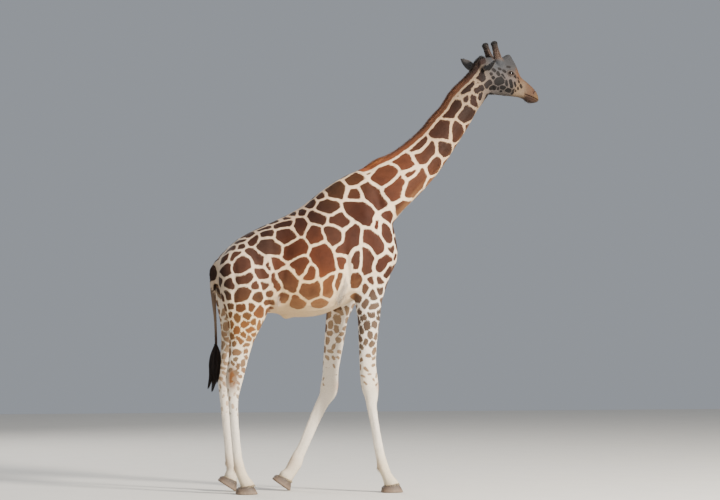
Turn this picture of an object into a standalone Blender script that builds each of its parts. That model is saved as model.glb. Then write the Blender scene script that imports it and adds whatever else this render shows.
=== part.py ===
"""A reticulated giraffe at life size, standing in a slow walk.

Metres, +Z up, the animal faces +X and its right side is -Y. The flesh is modelled whole, from ribs
drawn on the side view and joined into one skin, and is then parted into head, neck, trunk, tail and
legs by thin cuts. Horns, ears, eyes, mane, tail tuft and hooves are pieces of their own.
"""

import math

import bmesh
import bpy
from mathutils import Matrix, Vector

# ---- driving dimensions ----
GAP = 0.0004  # clearance where two pieces meet
SKIN_GRAIN = 0.010  # grain of the joined flesh before it is thinned out
SMOOTHING = 9
SKIN_TRIANGLES = 4000
HEAD_SHARE = 0.03  # how strongly the thinning spares the head

HEAD_AT = Vector((1.585, 0.060, 4.105))  # middle of the skull's back
HEAD_TURN = math.radians(19)  # the head looks a little to the animal's left

RIGHT, LEFT = -1, 1
SIDES = ((RIGHT, "right"), (LEFT, "left"))

EYE_AT = Vector((0.290, 0.101, -0.072))  # on the head, for the left eye
EYE_RADIUS = 0.027

OSSICONE_FOOT = Vector((0.180, 0.064, 0.045))
OSSICONE_TOP = Vector((0.115, 0.080, 0.226))
OSSICONE_RADII = (
    # share of the length, radius
    (0.00, 0.046),
    (0.25, 0.041),
    (0.50, 0.035),
    (0.75, 0.033),
    (0.90, 0.037),
    (1.00, 0.033),
    (1.07, 0.017),
)

EAR_FOOT = Vector((0.010, 0.076, -0.045))
EAR_TIP_LEFT = Vector((-0.082, 0.208, 0.084))
EAR_TIP_RIGHT = Vector((0.031, -0.242, 0.028))
EAR_WIDTH = 0.090
EAR_THICKNESS = 0.011
EAR_POINTS = 6  # across each face of the leaf
EAR_OUTLINE = (
    # share of the length, share of the width
    (0.00, 0.50),
    (0.12, 0.62),
    (0.28, 0.88),
    (0.45, 1.00),
    (0.62, 0.92),
    (0.78, 0.68),
    (0.91, 0.36),
    (1.00, 0.08),
)

HOOF_LENGTH = 0.208
HOOF_WIDTH = 0.152
HOOF_CLEFT = 0.007
CORONET_FRONT = (0.060, 0.090)  # on the hoof: forwards from its middle, and up
CORONET_BACK = (-0.082, 0.064)
CLAW_STEPS = 11
CLAW_LEVELS = (
    # height, how far the outline has drawn in at the toe, the heel and the side
    (0.000, 0.006, 0.004, 0.005),
    (0.007, 0.000, 0.000, 0.000),
    (0.045, 0.020, 0.004, 0.006),
)
CLAW_TOP = (0.047, 0.018, 0.014)  # the same, on the coronet's slope

MANE_HALF_WIDTH = 0.026
MANE_TIP_HALF_WIDTH = 0.007
MANE_ROOT = 0.020  # how deep the hair's roots sit under the crest
MANE_NOTCHES = (0.0, 0.007, 0.002, 0.009)

# ---- where the body is parted ----
BELLY_CUT = 1.590  # level at which the legs leave the trunk's height
NECK_CUT = ((0.765, 0.0, 2.628), (0.907, 0.0, 0.420))  # a place, and the way towards the head
HEAD_CUT = ((1.662, 0.0, 3.840), (0.905, 0.12, 0.410))
KNEE_CUTS = {
    "foreleg_right": ((0.445, 0.0, 0.975), (0.05, 0.0, -1.0)),
    "foreleg_left": ((0.130, 0.0, 0.975), (-0.12, 0.0, -1.0)),
    "hindleg_right": ((-0.850, 0.0, 1.050), (0.08, 0.0, -1.0)),
    "hindleg_left": ((-0.880, 0.0, 1.070), (0.05, 0.0, -1.0)),
}
FEET = {
    # side, middle of the sole (x, z), y, pitch
    "foreleg_right": (RIGHT, (0.660, 0.000), 0.219, 0.0),
    "foreleg_left": (LEFT, (-0.334, 0.0490), 0.230, math.radians(35.0)),
    "hindleg_right": (RIGHT, (-0.724, 0.000), 0.205, 0.0),
    "hindleg_left": (LEFT, (-0.857, 0.0465), 0.218, math.radians(33.0)),
}
UPPER_LEGS = {
    # side, rear edge and its slope, front edge and its slope, roof at the body's middle and its rise
    "foreleg_right": (RIGHT, 0.240, 0.02, 0.90, 0.0, 1.700, 2.30),
    "foreleg_left": (LEFT, 0.075, 0.19, 0.90, 0.0, 1.700, 2.30),
    "hindleg_right": (RIGHT, -1.30, 0.0, -0.462, 0.0, 1.640, 2.03),
    "hindleg_left": (LEFT, -1.30, 0.0, -0.475, 0.0, 1.640, 2.03),
}
UPPER_LEG_REACH = 0.60  # past the body's side

# ---- ribs ----
# A rib crosses the body. It runs from the upper (or front) outline to the lower (or rear) one, as x
# and z on the side view, and has a place across the body, half a width, and an egg: how much narrower
# it is at the upper end.
TRUNK = (
    # landmark      upper x, z       lower x, z         y    half    egg
    ("tail root", (-1.003, 2.150), (-0.998, 2.020), 0.000, 0.062, 0.00),
    ("pin bones", (-0.940, 2.255), (-0.949, 1.877), 0.000, 0.180, 0.05),
    ("hips", (-0.788, 2.398), (-0.837, 1.738), 0.000, 0.245, 0.10),
    ("croup", (-0.602, 2.499), (-0.671, 1.689), 0.000, 0.275, 0.22),
    ("loin", (-0.396, 2.592), (-0.435, 1.689), 0.000, 0.312, 0.30),
    ("last rib", (-0.193, 2.703), (-0.228, 1.652), 0.000, 0.350, 0.34),
    ("barrel", (-0.010, 2.845), (-0.010, 1.668), 0.000, 0.358, 0.38),
    ("girth", (0.149, 2.957), (0.149, 1.730), 0.000, 0.335, 0.44),
    ("withers", (0.319, 3.045), (0.299, 1.801), 0.000, 0.300, 0.50),
    ("shoulders", (0.479, 3.085), (0.439, 1.872), 0.000, 0.262, 0.40),
    ("breast", (0.619, 2.868), (0.579, 1.958), 0.000, 0.215, 0.20),
    ("brisket", (0.700, 2.567), (0.679, 2.054), 0.000, 0.160, 0.05),
    ("brisket point", (0.742, 2.376), (0.735, 2.155), 0.000, 0.085, 0.00),
)

NECK = (
    ("neck root", (0.299, 2.990), (0.559, 2.334), 0.000, 0.190, 0.20),
    ("neck base", (0.535, 3.128), (0.765, 2.628), 0.000, 0.168, 0.30),
    ("lower neck", (0.776, 3.286), (1.008, 2.873), 0.003, 0.145, 0.30),
    ("mid neck", (0.976, 3.449), (1.175, 3.068), 0.010, 0.128, 0.28),
    ("upper mid neck", (1.176, 3.652), (1.357, 3.337), 0.022, 0.114, 0.24),
    ("upper neck", (1.300, 3.830), (1.480, 3.527), 0.036, 0.105, 0.20),
    ("throat", (1.405, 3.935), (1.555, 3.656), 0.047, 0.098, 0.15),
    ("nape", (1.512, 4.063), (1.652, 3.787), 0.058, 0.092, 0.08),
    ("poll", (1.578, 4.137), (1.712, 3.880), 0.066, 0.078, 0.00),
)

# The skull, from the back of the head at HEAD_AT: x is forwards along the level, before the head is turned.
HEAD = (
    ("occiput", (-0.030, 0.040), (0.000, -0.130), 0.0, 0.064, 0.00),
    ("crown", (0.036, 0.080), (0.041, -0.225), 0.0, 0.088, 0.08),
    ("jaw angle", (0.138, 0.092), (0.098, -0.278), 0.0, 0.100, 0.02),
    ("cheek", (0.232, 0.095), (0.170, -0.274), 0.0, 0.105, 0.02),
    ("forehead", (0.308, 0.108), (0.242, -0.276), 0.0, 0.110, 0.05),
    ("brow", (0.366, 0.084), (0.306, -0.279), 0.0, 0.108, 0.06),
    ("below the eyes", (0.406, 0.026), (0.350, -0.280), 0.0, 0.094, 0.04),
    ("nose root", (0.436, -0.032), (0.388, -0.281), 0.0, 0.078, 0.02),
    ("nose bridge", (0.472, -0.080), (0.430, -0.283), 0.0, 0.066, 0.02),
    ("mid nose", (0.525, -0.114), (0.474, -0.288), 0.0, 0.060, 0.02),
    ("before the nostrils", (0.580, -0.151), (0.518, -0.300), 0.0, 0.059, 0.00),
    ("nostrils", (0.626, -0.187), (0.558, -0.320), 0.0, 0.062, 0.00),
    ("upper lip", (0.660, -0.231), (0.593, -0.329), 0.0, 0.059, 0.00),
    ("lip front", (0.680, -0.273), (0.632, -0.331), 0.0, 0.047, 0.00),
    ("lip tip", (0.693, -0.303), (0.667, -0.324), 0.0, 0.022, 0.00),
)

# Front leg on the animal's right, in full stance. The upper ribs lie in the shoulder.
FORELEG_RIGHT = (
    ("shoulder blade", (0.475, 2.640), (0.300, 2.640), 0.165, 0.080, 0.00),
    ("shoulder", (0.642, 2.330), (0.262, 2.330), 0.175, 0.118, 0.00),
    ("upper arm", (0.668, 2.140), (0.245, 2.140), 0.185, 0.116, 0.10),
    ("elbow", (0.614, 1.963), (0.252, 1.927), 0.197, 0.100, 0.10),
    ("forearm top", (0.567, 1.818), (0.291, 1.817), 0.203, 0.087, 0.00),
    ("forearm", (0.543, 1.639), (0.323, 1.639), 0.205, 0.076, 0.00),
    ("forearm middle", (0.518, 1.438), (0.332, 1.438), 0.206, 0.067, 0.00),
    ("forearm end", (0.504, 1.221), (0.342, 1.222), 0.207, 0.058, 0.00),
    ("above the knee", (0.519, 1.092), (0.348, 1.093), 0.208, 0.060, 0.00),
    ("knee", (0.528, 0.982), (0.361, 0.983), 0.209, 0.064, 0.00),
    ("below the knee", (0.520, 0.888), (0.393, 0.889), 0.210, 0.052, 0.00),
    ("cannon top", (0.512, 0.803), (0.410, 0.804), 0.211, 0.041, 0.00),
    ("cannon", (0.537, 0.614), (0.450, 0.615), 0.213, 0.037, 0.00),
    ("cannon end", (0.574, 0.425), (0.477, 0.426), 0.215, 0.039, 0.00),
    ("above the fetlock", (0.600, 0.320), (0.499, 0.321), 0.216, 0.045, 0.00),
    ("fetlock", (0.628, 0.237), (0.513, 0.229), 0.217, 0.053, 0.00),
    ("pastern", (0.657, 0.170), (0.550, 0.155), 0.218, 0.051, 0.00),
    ("coronet", (0.713, 0.105), (0.574, 0.083), 0.219, 0.061, 0.00),
    ("in the hoof", (0.731, 0.045), (0.582, 0.035), 0.219, 0.060, 0.00),
)

# Front leg on the left, at the end of its step: it slants back and stands on the hoof's tip.
FORELEG_LEFT = (
    ("shoulder blade", (0.450, 2.645), (0.280, 2.645), 0.165, 0.080, 0.00),
    ("shoulder", (0.620, 2.335), (0.230, 2.335), 0.175, 0.118, 0.00),
    ("upper arm", (0.594, 2.145), (0.152, 2.143), 0.185, 0.116, 0.10),
    ("elbow", (0.492, 1.956), (0.115, 1.935), 0.197, 0.100, 0.10),
    ("forearm top", (0.397, 1.804), (0.102, 1.803), 0.203, 0.087, 0.00),
    ("forearm", (0.317, 1.642), (0.091, 1.642), 0.206, 0.076, 0.00),
    ("forearm middle", (0.277, 1.437), (0.078, 1.437), 0.209, 0.067, 0.00),
    ("forearm end", (0.235, 1.217), (0.065, 1.217), 0.212, 0.058, 0.00),
    ("above the knee", (0.218, 1.095), (0.060, 1.096), 0.214, 0.060, 0.00),
    ("knee", (0.217, 0.979), (0.042, 0.995), 0.216, 0.064, 0.00),
    ("below the knee", (0.189, 0.888), (0.032, 0.919), 0.218, 0.054, 0.00),
    ("cannon top", (0.115, 0.792), (-0.008, 0.833), 0.220, 0.042, 0.00),
    ("cannon", (0.018, 0.600), (-0.089, 0.642), 0.223, 0.037, 0.00),
    ("cannon end", (-0.074, 0.399), (-0.172, 0.440), 0.226, 0.039, 0.00),
    ("above the fetlock", (-0.111, 0.314), (-0.221, 0.361), 0.228, 0.045, 0.00),
    ("fetlock", (-0.134, 0.236), (-0.264, 0.279), 0.229, 0.053, 0.00),
    ("pastern", (-0.182, 0.162), (-0.304, 0.206), 0.230, 0.049, 0.00),
    ("coronet", (-0.224, 0.098), (-0.344, 0.181), 0.230, 0.060, 0.00),
    ("in the hoof", (-0.240, 0.045), (-0.360, 0.130), 0.230, 0.058, 0.00),
)

HINDLEG_RIGHT = (
    ("haunch", (-0.580, 2.330), (-0.900, 2.278), 0.130, 0.080, 0.00),
    ("hip", (-0.515, 2.180), (-0.985, 2.128), 0.145, 0.128, 0.00),
    ("thigh", (-0.493, 2.000), (-0.995, 1.998), 0.165, 0.148, 0.00),
    ("stifle", (-0.496, 1.848), (-0.975, 1.848), 0.183, 0.134, 0.00),
    ("gaskin top", (-0.526, 1.707), (-0.936, 1.706), 0.190, 0.112, 0.00),
    ("gaskin", (-0.592, 1.559), (-0.907, 1.559), 0.193, 0.090, 0.00),
    ("gaskin middle", (-0.665, 1.411), (-0.898, 1.412), 0.195, 0.073, 0.00),
    ("gaskin end", (-0.711, 1.264), (-0.905, 1.264), 0.196, 0.060, 0.00),
    ("above the hock", (-0.738, 1.158), (-0.920, 1.158), 0.197, 0.056, 0.00),
    ("hock", (-0.762, 1.065), (-0.932, 1.065), 0.198, 0.058, 0.00),
    ("below the hock", (-0.787, 0.969), (-0.918, 0.970), 0.198, 0.050, 0.00),
    ("cannon top", (-0.807, 0.861), (-0.905, 0.862), 0.199, 0.042, 0.00),
    ("cannon", (-0.800, 0.650), (-0.890, 0.651), 0.200, 0.038, 0.00),
    ("cannon end", (-0.778, 0.420), (-0.869, 0.421), 0.202, 0.039, 0.00),
    ("above the fetlock", (-0.764, 0.325), (-0.859, 0.327), 0.203, 0.044, 0.00),
    ("fetlock", (-0.741, 0.245), (-0.849, 0.236), 0.204, 0.051, 0.00),
    ("pastern", (-0.712, 0.174), (-0.821, 0.158), 0.205, 0.049, 0.00),
    ("coronet", (-0.658, 0.105), (-0.792, 0.084), 0.205, 0.060, 0.00),
    ("in the hoof", (-0.644, 0.045), (-0.784, 0.037), 0.205, 0.058, 0.00),
)

HINDLEG_LEFT = (
    ("haunch", (-0.590, 2.330), (-0.910, 2.278), 0.130, 0.080, 0.00),
    ("hip", (-0.525, 2.180), (-0.995, 2.128), 0.145, 0.128, 0.00),
    ("thigh", (-0.508, 2.002), (-1.008, 1.999), 0.165, 0.148, 0.00),
    ("stifle", (-0.510, 1.851), (-0.990, 1.850), 0.183, 0.134, 0.00),
    ("gaskin top", (-0.535, 1.711), (-0.955, 1.710), 0.190, 0.112, 0.00),
    ("gaskin", (-0.598, 1.560), (-0.929, 1.560), 0.194, 0.090, 0.00),
    ("gaskin middle", (-0.697, 1.410), (-0.924, 1.410), 0.198, 0.073, 0.00),
    ("gaskin end", (-0.761, 1.259), (-0.934, 1.260), 0.201, 0.060, 0.00),
    ("above the hock", (-0.791, 1.164), (-0.945, 1.165), 0.203, 0.056, 0.00),
    ("hock", (-0.805, 1.084), (-0.953, 1.085), 0.204, 0.058, 0.00),
    ("below the hock", (-0.830, 0.984), (-0.947, 0.985), 0.206, 0.050, 0.00),
    ("cannon top", (-0.842, 0.879), (-0.933, 0.879), 0.208, 0.042, 0.00),
    ("cannon", (-0.824, 0.658), (-0.911, 0.659), 0.211, 0.038, 0.00),
    ("cannon end", (-0.800, 0.427), (-0.888, 0.428), 0.214, 0.039, 0.00),
    ("above the fetlock", (-0.788, 0.342), (-0.883, 0.343), 0.215, 0.044, 0.00),
    ("fetlock", (-0.766, 0.258), (-0.875, 0.267), 0.216, 0.051, 0.00),
    ("pastern", (-0.756, 0.181), (-0.865, 0.212), 0.217, 0.048, 0.00),
    ("coronet", (-0.762, 0.098), (-0.881, 0.170), 0.218, 0.058, 0.00),
    ("in the hoof", (-0.768, 0.045), (-0.887, 0.117), 0.218, 0.056, 0.00),
)

TAIL = (
    ("dock in the rump", (-0.900, 2.240), (-0.920, 2.110), 0.000, 0.055, 0.00),
    ("dock", (-0.968, 2.212), (-1.018, 2.158), 0.000, 0.042, 0.00),
    ("dock bend", (-0.988, 2.095), (-1.056, 2.100), 0.000, 0.034, 0.00),
    ("tail top", (-0.994, 1.995), (-1.054, 1.995), 0.000, 0.028, 0.00),
    ("upper tail", (-0.997, 1.901), (-1.048, 1.901), 0.000, 0.024, 0.00),
    ("tail", (-0.996, 1.807), (-1.036, 1.807), 0.000, 0.019, 0.00),
    ("tail middle", (-0.989, 1.618), (-1.013, 1.618), 0.000, 0.013, 0.00),
    ("tail end", (-0.982, 1.430), (-1.006, 1.430), 0.000, 0.012, 0.00),
    ("in the tuft", (-0.984, 1.350), (-1.008, 1.350), 0.000, 0.012, 0.00),
)
DOCK_RIBS = 5  # how many of the tail's ribs are joined into the skin
DOCK_CUT = 2.030
DOCK_BOX = ((-1.30, -0.972), (-0.075, 0.075), (1.70, DOCK_CUT))  # holds what hangs from the dock
TUFT_CUT = 1.385

# Crest of the mane, from the withers to between the horns: x, z of the hair's tips, and how deep it stands.
MANE = (
    (0.400, 3.080, 0.030),
    (0.452, 3.122, 0.048),
    (0.534, 3.178, 0.066),
    (0.678, 3.240, 0.058),
    (0.812, 3.332, 0.060),
    (0.968, 3.466, 0.062),
    (1.071, 3.588, 0.066),
    (1.176, 3.704, 0.070),
    (1.255, 3.826, 0.076),
    (1.331, 3.910, 0.074),
    (1.416, 3.990, 0.070),
    (1.478, 4.062, 0.070),
    (1.532, 4.156, 0.076),
    (1.600, 4.208, 0.076),
    (1.655, 4.202, 0.055),
)

# Locks of the tail tuft: x, y, z and half a width along each one.
TUFT = (
    (
        (-0.995, 0.000, 1.380, 0.013),
        (-1.020, 0.004, 1.290, 0.028),
        (-1.032, 0.008, 1.170, 0.026),
        (-1.026, 0.000, 1.020, 0.006),
    ),
    (
        (-0.995, 0.000, 1.370, 0.012),
        (-0.972, -0.006, 1.300, 0.022),
        (-0.975, -0.012, 1.180, 0.022),
        (-0.982, -0.010, 1.030, 0.006),
    ),
    (
        (-0.998, 0.000, 1.360, 0.012),
        (-1.000, 0.026, 1.260, 0.024),
        (-1.005, 0.036, 1.150, 0.022),
        (-1.012, 0.030, 1.040, 0.006),
    ),
    (
        (-0.998, 0.000, 1.360, 0.012),
        (-1.000, -0.028, 1.260, 0.024),
        (-1.008, -0.036, 1.140, 0.022),
        (-1.000, -0.030, 1.020, 0.006),
    ),
    (
        (-1.005, 0.000, 1.300, 0.020),
        (-1.030, 0.000, 1.200, 0.026),
        (-1.040, -0.004, 1.090, 0.020),
        (-1.070, -0.010, 0.975, 0.006),
    ),
    (
        (-0.995, 0.000, 1.300, 0.022),
        (-1.000, 0.000, 1.180, 0.030),
        (-1.006, 0.004, 1.070, 0.022),
        (-1.030, 0.010, 0.945, 0.006),
    ),
)
TUFT_GRAIN = 0.005
TUFT_TRIANGLES = 340

# Soft swellings (+) and hollows (-) of muscle and bone: place on the left side, reach along x, y, z,
# and height.
SWELLINGS = (
    ("shoulder blade", (0.385, 0.24, 2.62), (0.10, 0.15, 0.20), 0.020),
    ("blade's front edge", (0.535, 0.18, 2.72), (0.045, 0.15, 0.16), -0.016),
    ("point of the shoulder", (0.640, 0.17, 2.28), (0.08, 0.10, 0.09), 0.020),
    ("arm", (0.330, 0.28, 2.12), (0.09, 0.10, 0.13), 0.018),
    ("behind the arm", (0.185, 0.28, 2.16), (0.035, 0.12, 0.20), -0.018),
    ("elbow", (0.265, 0.26, 1.93), (0.05, 0.08, 0.05), 0.014),
    ("between the forelegs", (0.66, 0.0, 2.18), (0.08, 0.05, 0.16), -0.020),
    ("flank", (-0.400, 0.28, 2.28), (0.09, 0.14, 0.14), -0.026),
    ("hip bone", (-0.520, 0.20, 2.46), (0.07, 0.08, 0.06), 0.020),
    ("croup hollow", (-0.720, 0.16, 2.40), (0.09, 0.08, 0.06), -0.008),
    ("pin bone", (-0.955, 0.12, 2.22), (0.05, 0.06, 0.06), 0.018),
    ("thigh", (-0.680, 0.30, 2.08), (0.13, 0.10, 0.18), 0.014),
    ("hamstring groove", (-0.860, 0.28, 1.98), (0.025, 0.10, 0.20), -0.012),
    ("stifle", (-0.560, 0.28, 1.86), (0.055, 0.10, 0.06), 0.016),
    ("flank fold", (-0.455, 0.22, 1.80), (0.06, 0.08, 0.08), 0.028),
    ("sheath", (-0.335, 0.00, 1.66), (0.055, 0.05, 0.03), 0.040),
    ("brisket", (0.60, 0.00, 2.02), (0.08, 0.06, 0.08), 0.010),
)

HEAD_SWELLINGS = (
    ("boss on the forehead", (0.340, 0.000, 0.125), (0.040, 0.038, 0.045), 0.050),
    ("orbit", (0.292, 0.108, -0.060), (0.050, 0.040, 0.036), 0.010),
    ("brow", (0.305, 0.085, 0.005), (0.055, 0.035, 0.022), 0.010),
    ("cheek", (0.180, 0.100, -0.170), (0.075, 0.050, 0.075), 0.008),
    ("cheek ridge", (0.355, 0.090, -0.140), (0.060, 0.040, 0.018), 0.007),
    ("side of the muzzle", (0.465, 0.062, -0.205), (0.060, 0.040, 0.040), -0.008),
    ("jaw groove", (0.340, 0.070, -0.235), (0.120, 0.040, 0.020), -0.007),
    ("nostril rim", (0.612, 0.045, -0.222), (0.030, 0.020, 0.022), 0.007),
    ("chin", (0.588, 0.000, -0.335), (0.035, 0.040, 0.030), 0.005),
    ("horn foot", (0.172, 0.075, 0.070), (0.060, 0.045, 0.045), 0.014),
)


def paint(name, colour, roughness):
    made = bpy.data.materials.new(name)
    made.use_nodes = True
    shader = made.node_tree.nodes["Principled BSDF"]
    shader.inputs["Base Color"].default_value = (*colour, 1.0)
    shader.inputs["Roughness"].default_value = roughness
    made.diffuse_color = (*colour, 1.0)
    return made


def new_object(name, mesh):
    data = bpy.data.meshes.new(name)
    mesh.to_mesh(data)
    mesh.free()
    made = bpy.data.objects.new(name, data)
    bpy.context.scene.collection.objects.link(made)
    return made


def clear_scene():
    for old in list(bpy.data.objects):
        bpy.data.objects.remove(old)


def evaluated(thing):
    """The object's mesh with its modifiers applied, as a BMesh. The object goes."""
    bpy.context.view_layer.update()
    graph = bpy.context.evaluated_depsgraph_get()
    mesh = bmesh.new()
    mesh.from_object(thing, graph)
    bpy.data.objects.remove(thing)
    return mesh


# ---- lofts ----
def spline(p, q, r, s, t):
    """Catmull-Rom between q and r."""
    square = (2 * p - 5 * q + 4 * r - s) * t * t
    cube = (3 * q - p - 3 * r + s) * t**3
    return 0.5 * (2 * q + (r - p) * t + square + cube)


def spline_rows(rows, per_span):
    rows = [rows[0]] + list(rows) + [rows[-1]]
    made = []
    for i in range(1, len(rows) - 2):
        last = i == len(rows) - 3
        for step in range(per_span + (1 if last else 0)):
            t = step / per_span
            near = rows[i - 1 : i + 3]
            made.append([spline(*values, t) for values in zip(*near)])
    return made


def ring(values, around, fullness):
    """An egg-shaped ring on one rib."""
    upper_x, upper_z, lower_x, lower_z, y, half_width, egg = values
    middle = Vector(((upper_x + lower_x) / 2, y, (upper_z + lower_z) / 2))
    reach = Vector(((upper_x - lower_x) / 2, 0, (upper_z - lower_z) / 2))
    points = []
    for k in range(around):
        angle = 2 * math.pi * k / around
        along = math.copysign(abs(math.sin(angle)) ** (2 / fullness), math.sin(angle))
        across = math.copysign(abs(math.cos(angle)) ** (2 / fullness), math.cos(angle))
        sideways = half_width * across * (1 - egg * along)
        points.append(middle + reach * along + Vector((0, sideways, 0)))
    return points


def skinned(rings):
    """A closed BMesh through the rings, each with the same number of points."""
    mesh = bmesh.new()
    rows = [[mesh.verts.new(p) for p in points] for points in rings]
    for low, high in zip(rows, rows[1:]):
        for k in range(len(low)):
            n = (k + 1) % len(low)
            mesh.faces.new((low[k], low[n], high[n], high[k]))
    mesh.faces.new(rows[0])
    mesh.faces.new(rows[-1])
    bmesh.ops.recalc_face_normals(mesh, faces=mesh.faces)
    return mesh


def body_tube(ribs, side=1, per_span=4, around=28, fullness=2.15):
    rows = [(*rib[1], *rib[2], rib[3] * side, rib[4], rib[5]) for rib in ribs]
    return skinned([ring(values, around, fullness) for values in spline_rows(rows, per_span)])


def strand(points, around=8, per_span=3):
    """A round tube along (x, y, z, radius) points."""
    rows = spline_rows(points, per_span)
    rings = []
    for i, (x, y, z, radius) in enumerate(rows):
        before, after = Vector(rows[max(i - 1, 0)][:3]), Vector(rows[min(i + 1, len(rows) - 1)][:3])
        way = (after - before).normalized()
        side = way.cross(Vector((0, 1, 0))).normalized()
        front = way.cross(side)
        at = Vector((x, y, z))
        turns = [2 * math.pi * k / around for k in range(around)]
        rings.append([at + (side * math.cos(a) + front * math.sin(a)) * radius for a in turns])
    return skinned(rings)


def joined(meshes):
    whole = bmesh.new()
    for mesh in meshes:
        data = bpy.data.meshes.new("piece")
        mesh.to_mesh(data)
        mesh.free()
        whole.from_mesh(data)
        bpy.data.meshes.remove(data)
    return whole


def head_frame():
    return Matrix.Translation(HEAD_AT) @ Matrix.Rotation(HEAD_TURN, 4, "Z")


# ---- the skin ----
def swell(mesh, swellings, frame):
    """Pushes the surface in or out around each place, on both sides of the body."""
    back = frame.inverted()
    mesh.normal_update()
    for vert in mesh.verts:
        place = back @ vert.co
        push = 0.0
        for _, (x, y, z), (reach_x, reach_y, reach_z), height in swellings:
            u = (place.x - x) / reach_x
            v = (abs(place.y) - y) / reach_y
            w = (place.z - z) / reach_z
            far = u * u + v * v + w * w
            if far < 9:
                push += height * math.exp(-far)
        vert.co += vert.normal * push


def whole_skin():
    head = body_tube(HEAD, fullness=2.5)
    head.transform(head_frame())
    pieces = [body_tube(TRUNK, fullness=2.25), body_tube(NECK), head]
    pieces.append(body_tube(FORELEG_RIGHT, RIGHT))
    pieces.append(body_tube(FORELEG_LEFT, LEFT))
    pieces.append(body_tube(HINDLEG_RIGHT, RIGHT))
    pieces.append(body_tube(HINDLEG_LEFT, LEFT))
    pieces.append(body_tube(TAIL[:DOCK_RIBS], around=16))
    skin = new_object("skin", joined(pieces))
    remesh = skin.modifiers.new("join", "REMESH")
    remesh.mode = "VOXEL"
    remesh.voxel_size = SKIN_GRAIN
    smooth = skin.modifiers.new("smooth", "SMOOTH")
    smooth.factor = 0.5
    smooth.iterations = SMOOTHING
    mesh = evaluated(skin)
    swell(mesh, SWELLINGS, Matrix.Identity(4))
    swell(mesh, HEAD_SWELLINGS, head_frame())
    return mesh


def thinned(mesh, triangles, spared=None):
    """Fewer, larger facets; where spared says so they stay finer."""
    bmesh.ops.triangulate(mesh, faces=mesh.faces)
    before = len(mesh.faces)
    thing = new_object("thinned", mesh)
    thin = thing.modifiers.new("thin", "DECIMATE")
    thin.ratio = triangles / before
    if spared:
        group = thing.vertex_groups.new(name="spared")
        for vert in thing.data.vertices:
            group.add([vert.index], spared(vert.co), "REPLACE")
        thin.vertex_group = "spared"
        thin.vertex_group_factor = 1.0
        thin.invert_vertex_group = True
    mesh = evaluated(thing)
    bmesh.ops.triangulate(mesh, faces=mesh.faces)
    return mesh


def spared_at(place):
    on_head = head_frame().inverted() @ place
    if on_head.x > -0.03 and on_head.z > -0.40 and place.z > 3.6:
        return HEAD_SHARE
    return 0.0


# ---- cuts ----
def half(mesh, at, facing):
    """The part of the mesh that the plane faces, closed, and half a gap back from the plane."""
    made = mesh.copy()
    facing = Vector(facing).normalized()
    cut_at = Vector(at) + facing * GAP / 2
    everything = made.verts[:] + made.edges[:] + made.faces[:]
    bmesh.ops.bisect_plane(made, geom=everything, plane_co=cut_at, plane_no=facing, clear_inner=True)
    rims = [edge for edge in made.edges if edge.is_boundary]
    if rims:
        bmesh.ops.holes_fill(made, edges=rims, sides=0)
    bmesh.ops.triangulate(made, faces=made.faces)
    bmesh.ops.recalc_face_normals(made, faces=made.faces)
    return made


def loose_parts(mesh):
    """Each connected part of the mesh as a mesh of its own. The mesh goes."""
    mesh.verts.index_update()
    mesh.verts.ensure_lookup_table()
    seen = set()
    parts = []
    for start in mesh.verts:
        if start in seen:
            continue
        group = [start]
        waiting = [start]
        seen.add(start)
        while waiting:
            vert = waiting.pop()
            for edge in vert.link_edges:
                other = edge.other_vert(vert)
                if other not in seen:
                    seen.add(other)
                    group.append(other)
                    waiting.append(other)
        parts.append(group)
    made = []
    for keep in parts:
        piece = mesh.copy()
        piece.verts.ensure_lookup_table()
        wanted = {vert.index for vert in keep}
        gone = [vert for vert in piece.verts if vert.index not in wanted]
        bmesh.ops.delete(piece, geom=gone, context="VERTS")
        made.append(piece)
    mesh.free()
    return made


def largest(mesh):
    parts = loose_parts(mesh)
    parts.sort(key=lambda part: part.calc_volume(signed=False))
    for part in parts[:-1]:
        part.free()
    return parts[-1]


def boolean(mesh, cutter, operation):
    """DIFFERENCE or INTERSECT of two closed meshes. The cutter stays."""
    thing = new_object("kept", mesh)
    other = new_object("cutter", cutter.copy())
    cut = thing.modifiers.new("cut", "BOOLEAN")
    cut.operation = operation
    cut.solver = "MANIFOLD"
    cut.object = other
    made = evaluated(thing)
    bpy.data.objects.remove(other)
    bmesh.ops.triangulate(made, faces=made.faces)
    return made


def swollen(mesh, by):
    made = mesh.copy()
    made.normal_update()
    for vert in made.verts:
        vert.co += vert.normal * vert.calc_shell_factor() * by
    return made


def carved(mesh, *bodies):
    """The mesh less each of the bodies, with the clearance."""
    for body in bodies:
        cutter = swollen(body, GAP)
        mesh = boolean(mesh, cutter, "DIFFERENCE")
        cutter.free()
    return largest(mesh)


def convex(points):
    mesh = bmesh.new()
    verts = [mesh.verts.new(p) for p in points]
    bmesh.ops.convex_hull(mesh, input=verts)
    loose = [vert for vert in mesh.verts if not vert.link_faces]
    bmesh.ops.delete(mesh, geom=loose, context="VERTS")
    bmesh.ops.recalc_face_normals(mesh, faces=mesh.faces)
    return mesh


def leg_block(side, rear_low, rear_slope, front_low, front_slope, inner_top, rise, grown=0.0):
    """A block round an upper leg: its roof slopes up from the body's middle to the side."""
    points = []
    for across in (GAP * 1.5 - grown, UPPER_LEG_REACH):
        top = inner_top + rise * across
        for z in (BELLY_CUT - 0.05, top + grown):
            up = z - BELLY_CUT
            points.append((rear_low + rear_slope * up - grown, side * across, z))
            points.append((front_low + front_slope * up + grown, side * across, z))
    return convex(points)


# ---- small pieces ----
def foot_frame(middle, y, pitch):
    """Where a hoof stands: middle of its sole, and how far its heel is raised."""
    return Matrix.Translation(Vector((middle[0], y, middle[1]))) @ Matrix.Rotation(pitch, 4, "Y")


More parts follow.
